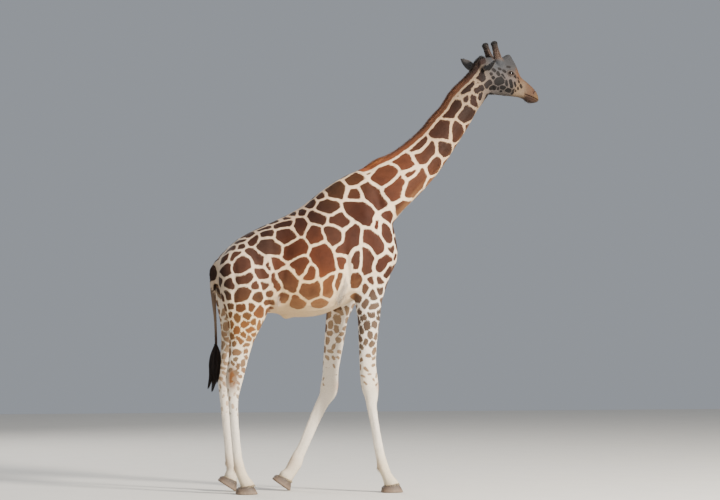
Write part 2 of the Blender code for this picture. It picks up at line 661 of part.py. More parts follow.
def claw_outline(side_out, toe_in, heel_in, side_in):
    points = []
    for k in range(CLAW_STEPS):
        turn = math.pi * k / (CLAW_STEPS - 1)
        x = math.cos(turn)
        reach = HOOF_LENGTH / 2 - (toe_in if x > 0 else heel_in)
        bulge = math.sin(turn) ** 0.75 * (1 - 0.10 * x)
        across = HOOF_CLEFT / 2 + bulge * (HOOF_WIDTH / 2 - HOOF_CLEFT / 2 - side_in)
        points.append((x * reach - 0.004, across * side_out))
    return points


def claw(side_out):
    """One half of a hoof, on its own sole at z = 0, toe towards +x."""
    rings = []
    for height, *drawn_in in CLAW_LEVELS:
        rings.append([Vector((x, y, height)) for x, y in claw_outline(side_out, *drawn_in)])
    back_x, back_z = CORONET_BACK
    slope = (CORONET_FRONT[1] - back_z) / (CORONET_FRONT[0] - back_x)
    top = claw_outline(side_out, *CLAW_TOP)
    rings.append([Vector((x, y, back_z + slope * (x - back_x) - GAP)) for x, y in top])
    mesh = skinned(rings)
    bmesh.ops.triangulate(mesh, faces=mesh.faces)
    return mesh


def hoof_claws(frame):
    """Both claws where the foot stands, with the floor's level shaved flat."""
    made = []
    for side_out in (RIGHT, LEFT):
        mesh = claw(side_out)
        mesh.transform(frame)
        if min(vert.co.z for vert in mesh.verts) < -1e-6:
            shaved = half(mesh, (0, 0, -GAP / 2), (0, 0, 1))
            mesh.free()
            mesh = shaved
        made.append(mesh)
    return made


def coronet_plane(frame):
    front = frame @ Vector((CORONET_FRONT[0], 0, CORONET_FRONT[1]))
    back = frame @ Vector((CORONET_BACK[0], 0, CORONET_BACK[1]))
    along = (front - back).normalized()
    up = along.cross(Vector((0, 1, 0)))
    if up.z < 0:
        up = -up
    return front + up * GAP / 2, up


def ossicone(side):
    foot = Vector((OSSICONE_FOOT.x, OSSICONE_FOOT.y * side, OSSICONE_FOOT.z))
    top = Vector((OSSICONE_TOP.x, OSSICONE_TOP.y * side, OSSICONE_TOP.z))
    points = []
    for t, radius in OSSICONE_RADII:
        at = foot.lerp(top, t)
        points.append((*at, radius))
    mesh = strand(points, around=9, per_span=1)
    mesh.transform(head_frame())
    return mesh


def ear(side):
    """A pointed leaf, hollow on its lower front face."""
    tip = EAR_TIP_LEFT if side == LEFT else EAR_TIP_RIGHT
    foot = Vector((EAR_FOOT.x, EAR_FOOT.y * side, EAR_FOOT.z))
    way = (tip - foot).normalized()
    length = (tip - foot).length
    hollow = Vector((0.80, 0.10 * side, -0.30))
    hollow = (hollow - way * hollow.dot(way)).normalized()
    across = way.cross(hollow).normalized()
    rings = []
    for t, share in EAR_OUTLINE:
        half_wide = EAR_WIDTH / 2 * share
        curl = 0.55 * (1 - 0.5 * t) * half_wide
        thick = EAR_THICKNESS * (1.3 - 0.7 * t)
        outer = []
        inner = []
        for k in range(EAR_POINTS):
            s = -1 + 2 * k / (EAR_POINTS - 1)
            line = foot + way * (length * t) + across * (half_wide * s) + hollow * (curl * s * s)
            edge = 1 - 0.75 * s * s
            outer.append(line - hollow * thick * edge)
            inner.append(line + hollow * thick * 0.2 * edge)
        rings.append(outer + inner[::-1][1:-1])
    mesh = skinned(rings)
    bmesh.ops.triangulate(mesh, faces=mesh.faces)
    mesh.transform(head_frame())
    return mesh


def ball(radius, at, rings=7, around=10):
    mesh = bmesh.new()
    bmesh.ops.create_uvsphere(mesh, u_segments=around, v_segments=rings, radius=radius)
    mesh.transform(Matrix.Translation(at))
    bmesh.ops.triangulate(mesh, faces=mesh.faces)
    return mesh


def mane_strip():
    rows = spline_rows(MANE, 2)
    rings = []
    for i, (x, z, depth) in enumerate(rows):
        before, after = rows[max(i - 1, 0)], rows[min(i + 1, len(rows) - 1)]
        way = Vector((after[0] - before[0], 0, after[1] - before[1])).normalized()
        up = Vector((-way.z, 0, way.x))
        notch = MANE_NOTCHES[i % len(MANE_NOTCHES)]
        crest = Vector((x, mane_line(x), z))
        wide = MANE_HALF_WIDTH * (0.8 + 0.2 * min(1, i / 6))
        tip = crest - up * notch
        foot = crest - up * (depth + MANE_ROOT)
        waist = tip.lerp(foot, 0.35)
        across = Vector((0, 1, 0))
        rings.append([
            tip + across * MANE_TIP_HALF_WIDTH,
            tip - across * MANE_TIP_HALF_WIDTH,
            waist - across * wide * 0.62,
            foot - across * wide,
            foot + across * wide,
            waist + across * wide * 0.62,
        ])
    mesh = skinned(rings)
    bmesh.ops.triangulate(mesh, faces=mesh.faces)
    return mesh


def mane_line(x):
    """The crest's place across the body: the neck bends gently to the left."""
    bends = [((rib[1][0] * 0.75 + rib[2][0] * 0.25), rib[3]) for rib in NECK]
    for (x0, y0), (x1, y1) in zip(bends, bends[1:]):
        if x0 <= x <= x1:
            return y0 + (y1 - y0) * (x - x0) / (x1 - x0)
    return bends[0][1] if x < bends[0][0] else bends[-1][1]


def tail_tuft():
    locks = [strand(points, around=8, per_span=4) for points in TUFT]
    tuft = new_object("tuft", joined(locks))
    remesh = tuft.modifiers.new("join", "REMESH")
    remesh.mode = "VOXEL"
    remesh.voxel_size = TUFT_GRAIN
    smooth = tuft.modifiers.new("smooth", "SMOOTH")
    smooth.iterations = 2
    return largest(thinned(evaluated(tuft), TUFT_TRIANGLES))


# ---- assembly ----
def finishes():
    return {
        "fur": paint("fur", (0.42, 0.20, 0.09), 0.75),
        "pale_fur": paint("pale_fur", (0.72, 0.62, 0.50), 0.75),
        "horn": paint("horn", (0.12, 0.09, 0.07), 0.55),
        "hair": paint("hair", (0.05, 0.035, 0.03), 0.7),
        "mane_hair": paint("mane_hair", (0.30, 0.11, 0.04), 0.7),
        "wet": paint("eye", (0.02, 0.012, 0.01), 0.1),
    }


def part_tail(body, made):
    """The free tail takes the place of what hangs below the dock's cut."""
    xs, ys, zs = DOCK_BOX
    hanging = convex([(x, y, z) for x in xs for y in ys for z in zs])
    body = largest(boolean(body, hanging, "DIFFERENCE"))
    tail = body_tube(TAIL[2:], around=10, per_span=2)
    bmesh.ops.triangulate(tail, faces=tail.faces)
    tail = half(tail, (0, 0, DOCK_CUT - GAP), (0, 0, -1))
    made["tail"] = (half(tail, (0, 0, TUFT_CUT), (0, 0, 1)), "fur")
    made["tail_tuft"] = (half(tail_tuft(), (0, 0, TUFT_CUT), (0, 0, -1)), "hair")
    return body


def part_lower_legs(lower, made):
    """Each leg below the belly's level, cut at the knee or hock and at the coronet, with its two claws."""
    for mesh in loose_parts(lower):
        middle = sum((vert.co for vert in mesh.verts), Vector()) / len(mesh.verts)
        name = ("fore" if middle.x > -0.3 else "hind") + "leg_" + ("right" if middle.y < 0 else "left")
        side, sole, y, pitch = FEET[name]
        frame = foot_frame(sole, y * side, pitch)
        knee_at, knee_down = KNEE_CUTS[name]
        made[f"{name}_middle"] = (half(mesh, knee_at, -Vector(knee_down)), "fur")
        below = half(mesh, knee_at, knee_down)
        made[f"{name}_lower"] = (half(below, *coronet_plane(frame)), "pale_fur")
        marks = ("outer", "inner") if side == RIGHT else ("inner", "outer")
        for mark, shape in zip(marks, hoof_claws(frame)):
            made[f"hoof_{name.replace('leg', '')}_{mark}"] = (shape, "horn")


def part_upper_legs(upper, made):
    """Each upper leg out of a lower corner of the trunk. What is left is the trunk."""
    trunk = upper.copy()
    for name, block in UPPER_LEGS.items():
        shape = boolean(upper.copy(), leg_block(*block), "INTERSECT")
        made[f"{name}_upper"] = (largest(shape), "fur")
        trunk = boolean(trunk, leg_block(*block, grown=GAP), "DIFFERENCE")
    return largest(trunk)


def set_in_eyes(head, made):
    turned = head_frame()
    for side, word in SIDES:
        at = turned @ Vector((EYE_AT.x, EYE_AT.y * side, EYE_AT.z))
        made[f"eye_{word}"] = (ball(EYE_RADIUS, at), "wet")
        head = boolean(head, ball(EYE_RADIUS + GAP * 1.6, at), "DIFFERENCE")
    return largest(head)


def main():
    clear_scene()
    made = {}
    body = part_tail(thinned(whole_skin(), SKIN_TRIANGLES, spared_at), made)

    front = half(body, *NECK_CUT)
    body = half(body, NECK_CUT[0], -Vector(NECK_CUT[1]))
    neck = half(front, HEAD_CUT[0], -Vector(HEAD_CUT[1]))
    head = set_in_eyes(half(front, *HEAD_CUT), made)
    part_lower_legs(half(body, (0, 0, BELLY_CUT), (0, 0, -1)), made)
    trunk = part_upper_legs(half(body, (0, 0, BELLY_CUT), (0, 0, 1)), made)

    for side, word in SIDES:
        made[f"ossicone_{word}"] = (carved(ossicone(side), head), "horn")
        made[f"ear_{word}"] = (carved(ear(side), head, neck), "fur")
    horns = [made[f"ossicone_{word}"][0] for _, word in SIDES]
    made["mane"] = (carved(mane_strip(), trunk, neck, head, *horns), "mane_hair")
    made["head"] = (head, "fur")
    made["neck"] = (neck, "fur")
    made["trunk"] = (trunk, "fur")

    shift = to_middle([mesh for mesh, _ in made.values()])
    paints = finishes()
    total = 0
    for name, (mesh, finish) in made.items():
        mesh.transform(Matrix.Translation(shift))
        bmesh.ops.recalc_face_normals(mesh, faces=mesh.faces)
        total += len(mesh.faces)
        thing = new_object(name, mesh)
        thing.data.materials.append(paints[finish])
    print(total, "facets, moved by", [round(step, 5) for step in shift])


def to_middle(meshes):
    """The move that puts the whole animal's middle over the origin and its soles on the floor."""
    low = Vector([min(vert.co[i] for mesh in meshes for vert in mesh.verts) for i in range(3)])
    high = Vector([max(vert.co[i] for mesh in meshes for vert in mesh.verts) for i in range(3)])
    return Vector((-(low.x + high.x) / 2, -(low.y + high.y) / 2, -low.z))


main()
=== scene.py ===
import math

import bmesh
import bpy
import numpy as np
from mathutils import Matrix, Vector
from mathutils.bvhtree import BVHTree


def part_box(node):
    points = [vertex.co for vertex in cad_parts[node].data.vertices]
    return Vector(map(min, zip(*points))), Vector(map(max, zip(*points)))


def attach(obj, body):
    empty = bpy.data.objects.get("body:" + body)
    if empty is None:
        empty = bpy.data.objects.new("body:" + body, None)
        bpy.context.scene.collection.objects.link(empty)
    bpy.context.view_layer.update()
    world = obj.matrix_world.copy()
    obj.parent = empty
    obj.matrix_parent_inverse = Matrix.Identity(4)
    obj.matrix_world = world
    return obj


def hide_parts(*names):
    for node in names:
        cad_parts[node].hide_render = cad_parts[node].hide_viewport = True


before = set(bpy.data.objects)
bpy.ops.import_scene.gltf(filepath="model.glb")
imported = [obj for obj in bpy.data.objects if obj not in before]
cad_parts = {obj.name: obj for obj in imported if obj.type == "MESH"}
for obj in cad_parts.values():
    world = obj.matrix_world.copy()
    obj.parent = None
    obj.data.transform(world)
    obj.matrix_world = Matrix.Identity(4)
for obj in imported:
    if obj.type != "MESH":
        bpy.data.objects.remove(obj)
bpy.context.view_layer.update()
chance = np.random.default_rng(11)
hairShare = 1.0  # how much of the coat is made
right, left = -1, 1
sides = ((right, "right"), (left, "left"))

# The ribs that the body is drawn on: upper (or front) end and lower (or rear) end as x and z, the place
# across the body, half a width, and how much narrower the rib is at its upper end, where it is.
trunkRibs = (
    (-1.003, 2.150, -0.998, 2.020, 0.000, 0.062),
    (-0.940, 2.255, -0.949, 1.877, 0.000, 0.180, 0.05),
    (-0.788, 2.398, -0.837, 1.738, 0.000, 0.245, 0.10),
    (-0.602, 2.499, -0.671, 1.689, 0.000, 0.275, 0.22),
    (-0.396, 2.592, -0.435, 1.689, 0.000, 0.312, 0.30),
    (-0.193, 2.703, -0.228, 1.652, 0.000, 0.350, 0.34),
    (-0.010, 2.845, -0.010, 1.668, 0.000, 0.358, 0.38),
    (0.149, 2.957, 0.149, 1.730, 0.000, 0.335, 0.44),
    (0.319, 3.045, 0.299, 1.801, 0.000, 0.300, 0.50),
    (0.479, 3.085, 0.439, 1.872, 0.000, 0.262, 0.40),
    (0.619, 2.868, 0.579, 1.958, 0.000, 0.215, 0.20),
    (0.700, 2.567, 0.679, 2.054, 0.000, 0.160, 0.05),
    (0.742, 2.376, 0.735, 2.155, 0.000, 0.085),
)
neckRibs = (
    (0.299, 2.990, 0.559, 2.334, 0.000, 0.190, 0.20),
    (0.535, 3.128, 0.765, 2.628, 0.000, 0.168, 0.30),
    (0.776, 3.286, 1.008, 2.873, 0.003, 0.145, 0.30),
    (0.976, 3.449, 1.175, 3.068, 0.010, 0.128, 0.28),
    (1.176, 3.652, 1.357, 3.337, 0.022, 0.114, 0.24),
    (1.300, 3.830, 1.480, 3.527, 0.036, 0.105, 0.20),
    (1.405, 3.935, 1.555, 3.656, 0.047, 0.098, 0.15),
    (1.512, 4.063, 1.652, 3.787, 0.058, 0.092, 0.08),
    (1.578, 4.137, 1.712, 3.880, 0.066, 0.078),
)
# the skull has a frame of its own, from its back, forwards along the level
headRibs = (
    (-0.030, 0.040, 0.000, -0.130, 0.0, 0.064),
    (0.036, 0.080, 0.041, -0.225, 0.0, 0.088, 0.08),
    (0.138, 0.092, 0.098, -0.278, 0.0, 0.100, 0.02),
    (0.232, 0.095, 0.170, -0.274, 0.0, 0.105, 0.02),
    (0.308, 0.108, 0.242, -0.276, 0.0, 0.110, 0.05),
    (0.366, 0.084, 0.306, -0.279, 0.0, 0.108, 0.06),
    (0.406, 0.026, 0.350, -0.280, 0.0, 0.094, 0.04),
    (0.436, -0.032, 0.388, -0.281, 0.0, 0.078, 0.02),
    (0.472, -0.080, 0.430, -0.283, 0.0, 0.066, 0.02),
    (0.525, -0.114, 0.474, -0.288, 0.0, 0.060, 0.02),
    (0.580, -0.151, 0.518, -0.300, 0.0, 0.059),
    (0.626, -0.187, 0.558, -0.320, 0.0, 0.062),
    (0.660, -0.231, 0.593, -0.329, 0.0, 0.059),
    (0.680, -0.273, 0.632, -0.331, 0.0, 0.047),
    (0.693, -0.303, 0.667, -0.324, 0.0, 0.022),
)
foreRightRibs = (
    (0.475, 2.640, 0.300, 2.640, 0.165, 0.080),
    (0.642, 2.330, 0.262, 2.330, 0.175, 0.118),
    (0.668, 2.140, 0.245, 2.140, 0.185, 0.116, 0.10),
    (0.614, 1.963, 0.252, 1.927, 0.197, 0.100, 0.10),
    (0.567, 1.818, 0.291, 1.817, 0.203, 0.087),
    (0.543, 1.639, 0.323, 1.639, 0.205, 0.076),
    (0.518, 1.438, 0.332, 1.438, 0.206, 0.067),
    (0.504, 1.221, 0.342, 1.222, 0.207, 0.058),
    (0.519, 1.092, 0.348, 1.093, 0.208, 0.060),
    (0.528, 0.982, 0.361, 0.983, 0.209, 0.064),
    (0.520, 0.888, 0.393, 0.889, 0.210, 0.052),
    (0.512, 0.803, 0.410, 0.804, 0.211, 0.041),
    (0.537, 0.614, 0.450, 0.615, 0.213, 0.037),
    (0.574, 0.425, 0.477, 0.426, 0.215, 0.039),
    (0.600, 0.320, 0.499, 0.321, 0.216, 0.045),
    (0.628, 0.237, 0.513, 0.229, 0.217, 0.053),
    (0.657, 0.170, 0.550, 0.155, 0.218, 0.051),
    (0.713, 0.105, 0.574, 0.083, 0.219, 0.061),
    (0.731, 0.045, 0.582, 0.035, 0.219, 0.060),
)
foreLeftRibs = (
    (0.450, 2.645, 0.280, 2.645, 0.165, 0.080),
    (0.620, 2.335, 0.230, 2.335, 0.175, 0.118),
    (0.594, 2.145, 0.152, 2.143, 0.185, 0.116, 0.10),
    (0.492, 1.956, 0.115, 1.935, 0.197, 0.100, 0.10),
    (0.397, 1.804, 0.102, 1.803, 0.203, 0.087),
    (0.317, 1.642, 0.091, 1.642, 0.206, 0.076),
    (0.277, 1.437, 0.078, 1.437, 0.209, 0.067),
    (0.235, 1.217, 0.065, 1.217, 0.212, 0.058),
    (0.218, 1.095, 0.060, 1.096, 0.214, 0.060),
    (0.217, 0.979, 0.042, 0.995, 0.216, 0.064),
    (0.189, 0.888, 0.032, 0.919, 0.218, 0.054),
    (0.115, 0.792, -0.008, 0.833, 0.220, 0.042),
    (0.018, 0.600, -0.089, 0.642, 0.223, 0.037),
    (-0.074, 0.399, -0.172, 0.440, 0.226, 0.039),
    (-0.111, 0.314, -0.221, 0.361, 0.228, 0.045),
    (-0.134, 0.236, -0.264, 0.279, 0.229, 0.053),
    (-0.182, 0.162, -0.304, 0.206, 0.230, 0.049),
    (-0.224, 0.098, -0.344, 0.181, 0.230, 0.060),
    (-0.240, 0.045, -0.360, 0.130, 0.230, 0.058),
)
hindRightRibs = (
    (-0.580, 2.330, -0.900, 2.278, 0.130, 0.080),
    (-0.515, 2.180, -0.985, 2.128, 0.145, 0.128),
    (-0.493, 2.000, -0.995, 1.998, 0.165, 0.148),
    (-0.496, 1.848, -0.975, 1.848, 0.183, 0.134),
    (-0.526, 1.707, -0.936, 1.706, 0.190, 0.112),
    (-0.592, 1.559, -0.907, 1.559, 0.193, 0.090),
    (-0.665, 1.411, -0.898, 1.412, 0.195, 0.073),
    (-0.711, 1.264, -0.905, 1.264, 0.196, 0.060),
    (-0.738, 1.158, -0.920, 1.158, 0.197, 0.056),
    (-0.762, 1.065, -0.932, 1.065, 0.198, 0.058),
    (-0.787, 0.969, -0.918, 0.970, 0.198, 0.050),
    (-0.807, 0.861, -0.905, 0.862, 0.199, 0.042),
    (-0.800, 0.650, -0.890, 0.651, 0.200, 0.038),
    (-0.778, 0.420, -0.869, 0.421, 0.202, 0.039),
    (-0.764, 0.325, -0.859, 0.327, 0.203, 0.044),
    (-0.741, 0.245, -0.849, 0.236, 0.204, 0.051),
    (-0.712, 0.174, -0.821, 0.158, 0.205, 0.049),
    (-0.658, 0.105, -0.792, 0.084, 0.205, 0.060),
    (-0.644, 0.045, -0.784, 0.037, 0.205, 0.058),
)
hindLeftRibs = (
    (-0.590, 2.330, -0.910, 2.278, 0.130, 0.080),
    (-0.525, 2.180, -0.995, 2.128, 0.145, 0.128),
    (-0.508, 2.002, -1.008, 1.999, 0.165, 0.148),
    (-0.510, 1.851, -0.990, 1.850, 0.183, 0.134),
    (-0.535, 1.711, -0.955, 1.710, 0.190, 0.112),
    (-0.598, 1.560, -0.929, 1.560, 0.194, 0.090),
    (-0.697, 1.410, -0.924, 1.410, 0.198, 0.073),
    (-0.761, 1.259, -0.934, 1.260, 0.201, 0.060),
    (-0.791, 1.164, -0.945, 1.165, 0.203, 0.056),
    (-0.805, 1.084, -0.953, 1.085, 0.204, 0.058),
    (-0.830, 0.984, -0.947, 0.985, 0.206, 0.050),
    (-0.842, 0.879, -0.933, 0.879, 0.208, 0.042),
    (-0.824, 0.658, -0.911, 0.659, 0.211, 0.038),
    (-0.800, 0.427, -0.888, 0.428, 0.214, 0.039),
    (-0.788, 0.342, -0.883, 0.343, 0.215, 0.044),
    (-0.766, 0.258, -0.875, 0.267, 0.216, 0.051),
    (-0.756, 0.181, -0.865, 0.212, 0.217, 0.048),
    (-0.762, 0.098, -0.881, 0.170, 0.218, 0.058),
    (-0.768, 0.045, -0.887, 0.117, 0.218, 0.056),
)
tailRibs = (
    (-0.900, 2.240, -0.920, 2.110, 0.000, 0.055),
    (-0.968, 2.212, -1.018, 2.158, 0.000, 0.042),
    (-0.988, 2.095, -1.056, 2.100, 0.000, 0.034),
    (-0.994, 1.995, -1.054, 1.995, 0.000, 0.028),
    (-0.997, 1.901, -1.048, 1.901, 0.000, 0.024),
    (-0.996, 1.807, -1.036, 1.807, 0.000, 0.019),
    (-0.989, 1.618, -1.013, 1.618, 0.000, 0.013),
    (-0.982, 1.430, -1.006, 1.430, 0.000, 0.012),
    (-0.984, 1.350, -1.008, 1.350, 0.000, 0.012),
)
# swellings (+) and hollows (-) of muscle and bone: place on the left side, reach, height
bodySwellings = (
    ((0.385, 0.24, 2.62), (0.10, 0.15, 0.20), 0.020),  # shoulder blade
    ((0.535, 0.18, 2.72), (0.045, 0.15, 0.16), -0.016),
    ((0.640, 0.17, 2.28), (0.08, 0.10, 0.09), 0.020),  # point of the shoulder
    ((0.330, 0.28, 2.12), (0.09, 0.10, 0.13), 0.018),
    ((0.185, 0.28, 2.16), (0.035, 0.12, 0.20), -0.018),  # behind the arm
    ((0.265, 0.26, 1.93), (0.05, 0.08, 0.05), 0.014),
    ((0.66, 0.0, 2.18), (0.08, 0.05, 0.16), -0.020),
    ((-0.400, 0.28, 2.28), (0.09, 0.14, 0.14), -0.026),  # flank
    ((-0.520, 0.20, 2.46), (0.07, 0.08, 0.06), 0.020),  # hip bone
    ((-0.720, 0.16, 2.40), (0.09, 0.08, 0.06), -0.008),
    ((-0.955, 0.12, 2.22), (0.05, 0.06, 0.06), 0.018),
    ((-0.680, 0.30, 2.08), (0.13, 0.10, 0.18), 0.014),
    ((-0.860, 0.28, 1.98), (0.025, 0.10, 0.20), -0.012),
    ((-0.560, 0.28, 1.86), (0.055, 0.10, 0.06), 0.016),  # stifle
    ((-0.455, 0.22, 1.80), (0.06, 0.08, 0.08), 0.028),
    ((-0.335, 0.00, 1.66), (0.055, 0.05, 0.03), 0.040),  # sheath
    ((0.60, 0.00, 2.02), (0.08, 0.06, 0.08), 0.010),
)
headSwellings = (
    ((0.340, 0.000, 0.125), (0.040, 0.038, 0.045), 0.050),  # boss on the forehead
    ((0.292, 0.108, -0.060), (0.050, 0.040, 0.036), 0.010),
    ((0.305, 0.085, 0.005), (0.055, 0.035, 0.022), 0.010),  # brow
    ((0.180, 0.100, -0.170), (0.075, 0.050, 0.075), 0.008),
    ((0.355, 0.090, -0.140), (0.060, 0.040, 0.018), 0.007),
    ((0.465, 0.062, -0.205), (0.060, 0.040, 0.040), -0.008),
    ((0.340, 0.070, -0.235), (0.120, 0.040, 0.020), -0.007),
    ((0.612, 0.045, -0.222), (0.030, 0.020, 0.022), 0.007),  # nostril rim
    ((0.588, 0.000, -0.335), (0.035, 0.040, 0.030), 0.005),
    ((0.172, 0.075, 0.070), (0.060, 0.045, 0.045), 0.014),  # horn foot
)
skull = {
    "at": np.array((1.585, 0.060, 4.105)),
    "turn": math.radians(19),  # it looks a little to the animal's left
    "level": 3.6,  # all of it is higher
    "eyeAt": np.array((0.290, 0.101, -0.072)),  # of the left eye
    "eyeRadius": 0.027,
}
cosine, sine = math.cos(skull["turn"]), math.sin(skull["turn"])
headAxes = np.array(((cosine, -sine, 0), (sine, cosine, 0), (0, 0, 1)))


def toHead(points):
    return (points - skull["at"]) @ headAxes


def fromHead(points):
    return np.asarray(points) @ headAxes.T + skull["at"]


def mirrored(place, side):
    return np.array((place[0], place[1] * side, place[2]))


# The points with those of the right side moved over to the left.
def onLeft(points):
    return points * (1, 0, 1) + np.abs(points) * (0, 1, 0)


eyeLow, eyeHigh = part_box("eye_left")
shift = np.array((eyeLow + eyeHigh) / 2) - fromHead(skull["eyeAt"])  # from the ribs to the frame


# Smooth noise between -1 and 1 over points in space.
def noise(points, grain, seed):
    cells = np.asarray(points) / grain
    low = np.floor(cells).astype(np.int64)
    share = cells - low
    share = share * share * (3 - 2 * share)
    total = np.zeros(len(cells))
    for corner in np.ndindex(2, 2, 2):
        x, y, z = (low + corner).T
        key = (x * 73856093) ^ (y * 19349663) ^ (z * 83492791) ^ (seed * 265443576)
        key = (key ^ (key >> 13)) * 1274126177
        value = ((key >> 16) & 65535) / 32767.5 - 1
        total += value * np.prod(np.where(corner, share, 1 - share), axis=1)
    return total


def ramp(value, low, high):
    share = np.clip((value - low) / (high - low), 0, 1)
    return share * share * (3 - 2 * share)


# From 0 to 1 between two places along the skull, and 0 on all that is lower than it.
def headShare(points, start, end):
    return ramp(toHead(points)[:, 0], start, end) * (points[:, 2] > skull["level"])


def unit(vectors):
    length = np.linalg.norm(vectors, axis=-1, keepdims=True)
    return vectors / np.maximum(length, 1e-9)


# Catmull-Rom rows through the rows given.
def splineRows(rows, perSpan):
    rows = np.array([rows[0], *rows, rows[-1]], float)
    made = []
    for p, q, r, s in zip(rows, rows[1:], rows[2:], rows[3:]):
        for step in range(perSpan):
            t = step / perSpan
            square = (2 * p - 5 * q + 4 * r - s) * t * t
            made.append(0.5 * (2 * q + (r - p) * t + square + (3 * q - p - 3 * r + s) * t**3))
    return np.array([*made, rows[-1]])


def ribRows(ribs, side=1, perSpan=4):
    whole = [(*rib[:4], rib[4] * side, *rib[5:], 0.0)[:7] for rib in ribs]
    return splineRows(whole, perSpan)


# An egg-shaped ring on each rib.
def ribRings(rows, around, fullness=2.15):
    turn = 2 * np.pi * np.arange(around) / around
    along = np.sign(np.sin(turn)) * abs(np.sin(turn)) ** (2 / fullness)
    across = np.sign(np.cos(turn)) * abs(np.cos(turn)) ** (2 / fullness)
    rings = []
    for upX, upZ, downX, downZ, y, half, egg in rows:
        x = (upX + downX) / 2 + (upX - downX) / 2 * along
        z = (upZ + downZ) / 2 + (upZ - downZ) / 2 * along
        rings.append(np.stack((x, y + half * across * (1 - egg * along), z), axis=1))
    return np.array(rings)


# Points and faces of a closed skin through rings of equal count.
def loft(rings):
    count, around = rings.shape[:2]
    at = np.arange(count * around).reshape(count, around)
    after = np.roll(at, -1, axis=1)
    quads = np.stack((at[:-1], after[:-1], after[1:], at[1:]), axis=-1).reshape(-1, 4)
    return rings.reshape(-1, 3), [*quads.tolist(), at[0][::-1].tolist(), at[-1].tolist()]


# Round rings along rows of x, y, z and radius.
def strandRings(rows, around):
    way = unit(np.gradient(rows[:, :3], axis=0))
    side = unit(np.cross(way, (0.0, 1.0, 0.0)))
    front = np.cross(way, side)
    turn = 2 * np.pi * np.arange(around) / around
    ring = side[:, None] * np.cos(turn)[:, None] + front[:, None] * np.sin(turn)[:, None]
    return rows[:, None, :3] + ring * rows[:, 3][:, None, None]


def makeMesh(name, points, faces):
    mesh = bpy.data.meshes.new(name)
    mesh.from_pydata(np.asarray(points).tolist(), [], faces)
    tidy = bmesh.new()
    tidy.from_mesh(mesh)
    bmesh.ops.recalc_face_normals(tidy, faces=tidy.faces)
    tidy.to_mesh(mesh)
    tidy.free()
    return mesh


def makeObject(name, mesh):
    made = bpy.data.objects.new(name, mesh)
    bpy.context.scene.collection.objects.link(made)
    return made


# The object's mesh with its modifiers applied. The object goes.
def settled(thing):
    bpy.context.view_layer.update()
    graph = bpy.context.evaluated_depsgraph_get()
    mesh = bpy.data.meshes.new_from_object(thing.evaluated_get(graph), depsgraph=graph)
    bpy.data.objects.remove(thing)
    return mesh


def pointsOf(mesh):
    flat = np.empty(len(mesh.vertices) * 3)
    mesh.vertices.foreach_get("co", flat)
    return flat.reshape(-1, 3)


def normalsOf(mesh):
    flat = np.empty(len(mesh.vertices) * 3)
    mesh.vertices.foreach_get("normal", flat)
    return flat.reshape(-1, 3)


def setPoints(mesh, points):
    mesh.vertices.foreach_set("co", points.ravel())
    mesh.update()


# Moves each point out along its normal.
def pushOut(mesh, push):
    setPoints(mesh, pointsOf(mesh) + normalsOf(mesh) * push[:, None])


def edgesOf(mesh):
    flat = np.empty(len(mesh.edges) * 2, int)
    mesh.edges.foreach_get("vertices", flat)
    return flat.reshape(-1, 2)


def trianglesOf(mesh):
    mesh.calc_loop_triangles()
    flat = np.empty(len(mesh.loop_triangles) * 3, np.int32)
    mesh.loop_triangles.foreach_get("vertices", flat)
    return flat.reshape(-1, 3)


def treeOf(mesh):
    return BVHTree.FromPolygons(pointsOf(mesh).tolist(), [tuple(face.vertices) for face in mesh.polygons])


# Where a level line from one side first meets the surface, and the normal there.
def fromSide(tree, x, z, side):
    return tree.ray_cast(Vector((x, 1.2 * side, z)), Vector((0, -side, 0)))[:2]


# Evens the points out where the strength, from 0 to 1, says so.
def relax(mesh, strength, rounds):
    points = pointsOf(mesh)
    ends = edgesOf(mesh)
    both = np.concatenate((ends, ends[:, ::-1]))
    count = np.maximum(np.bincount(both[:, 0], minlength=len(points)), 1)[:, None]
    for _ in range(rounds):
        total = [np.bincount(both[:, 0], points[both[:, 1], k], len(points)) for k in range(3)]
        points += (np.stack(total, axis=1) / count - points) * strength[:, None] * 0.5
    setPoints(mesh, points)


# Distance from each point to the nearest of a line's segments.
def farFromLine(points, line):
    line = np.asarray(line, float)
    best = np.full(len(points), np.inf)
    for start, end in zip(line, line[1:]):
        way = end - start
        share = np.clip((points - start) @ way / max(way @ way, 1e-12), 0, 1)
        best = np.minimum(best, np.linalg.norm(points - start - share[:, None] * way, axis=1))
    return best

skin = {
    "grain": 0.0166,
    "evenings": 9,
    "dockRibs": 5,  # ribs of the tail that are joined into the rump
    "fineRoundEye": 0.062,  # the mesh is finest this near an eye
    "fineMuzzle": 0.485,  # and from here forwards on the skull
    "bodyDepth": 0.0045,  # the skin lies this far under the coat's outline
    "legDepth": 0.0032,
    "headDepth": 0.0020,
    "muzzleDepth": 0.001,
}
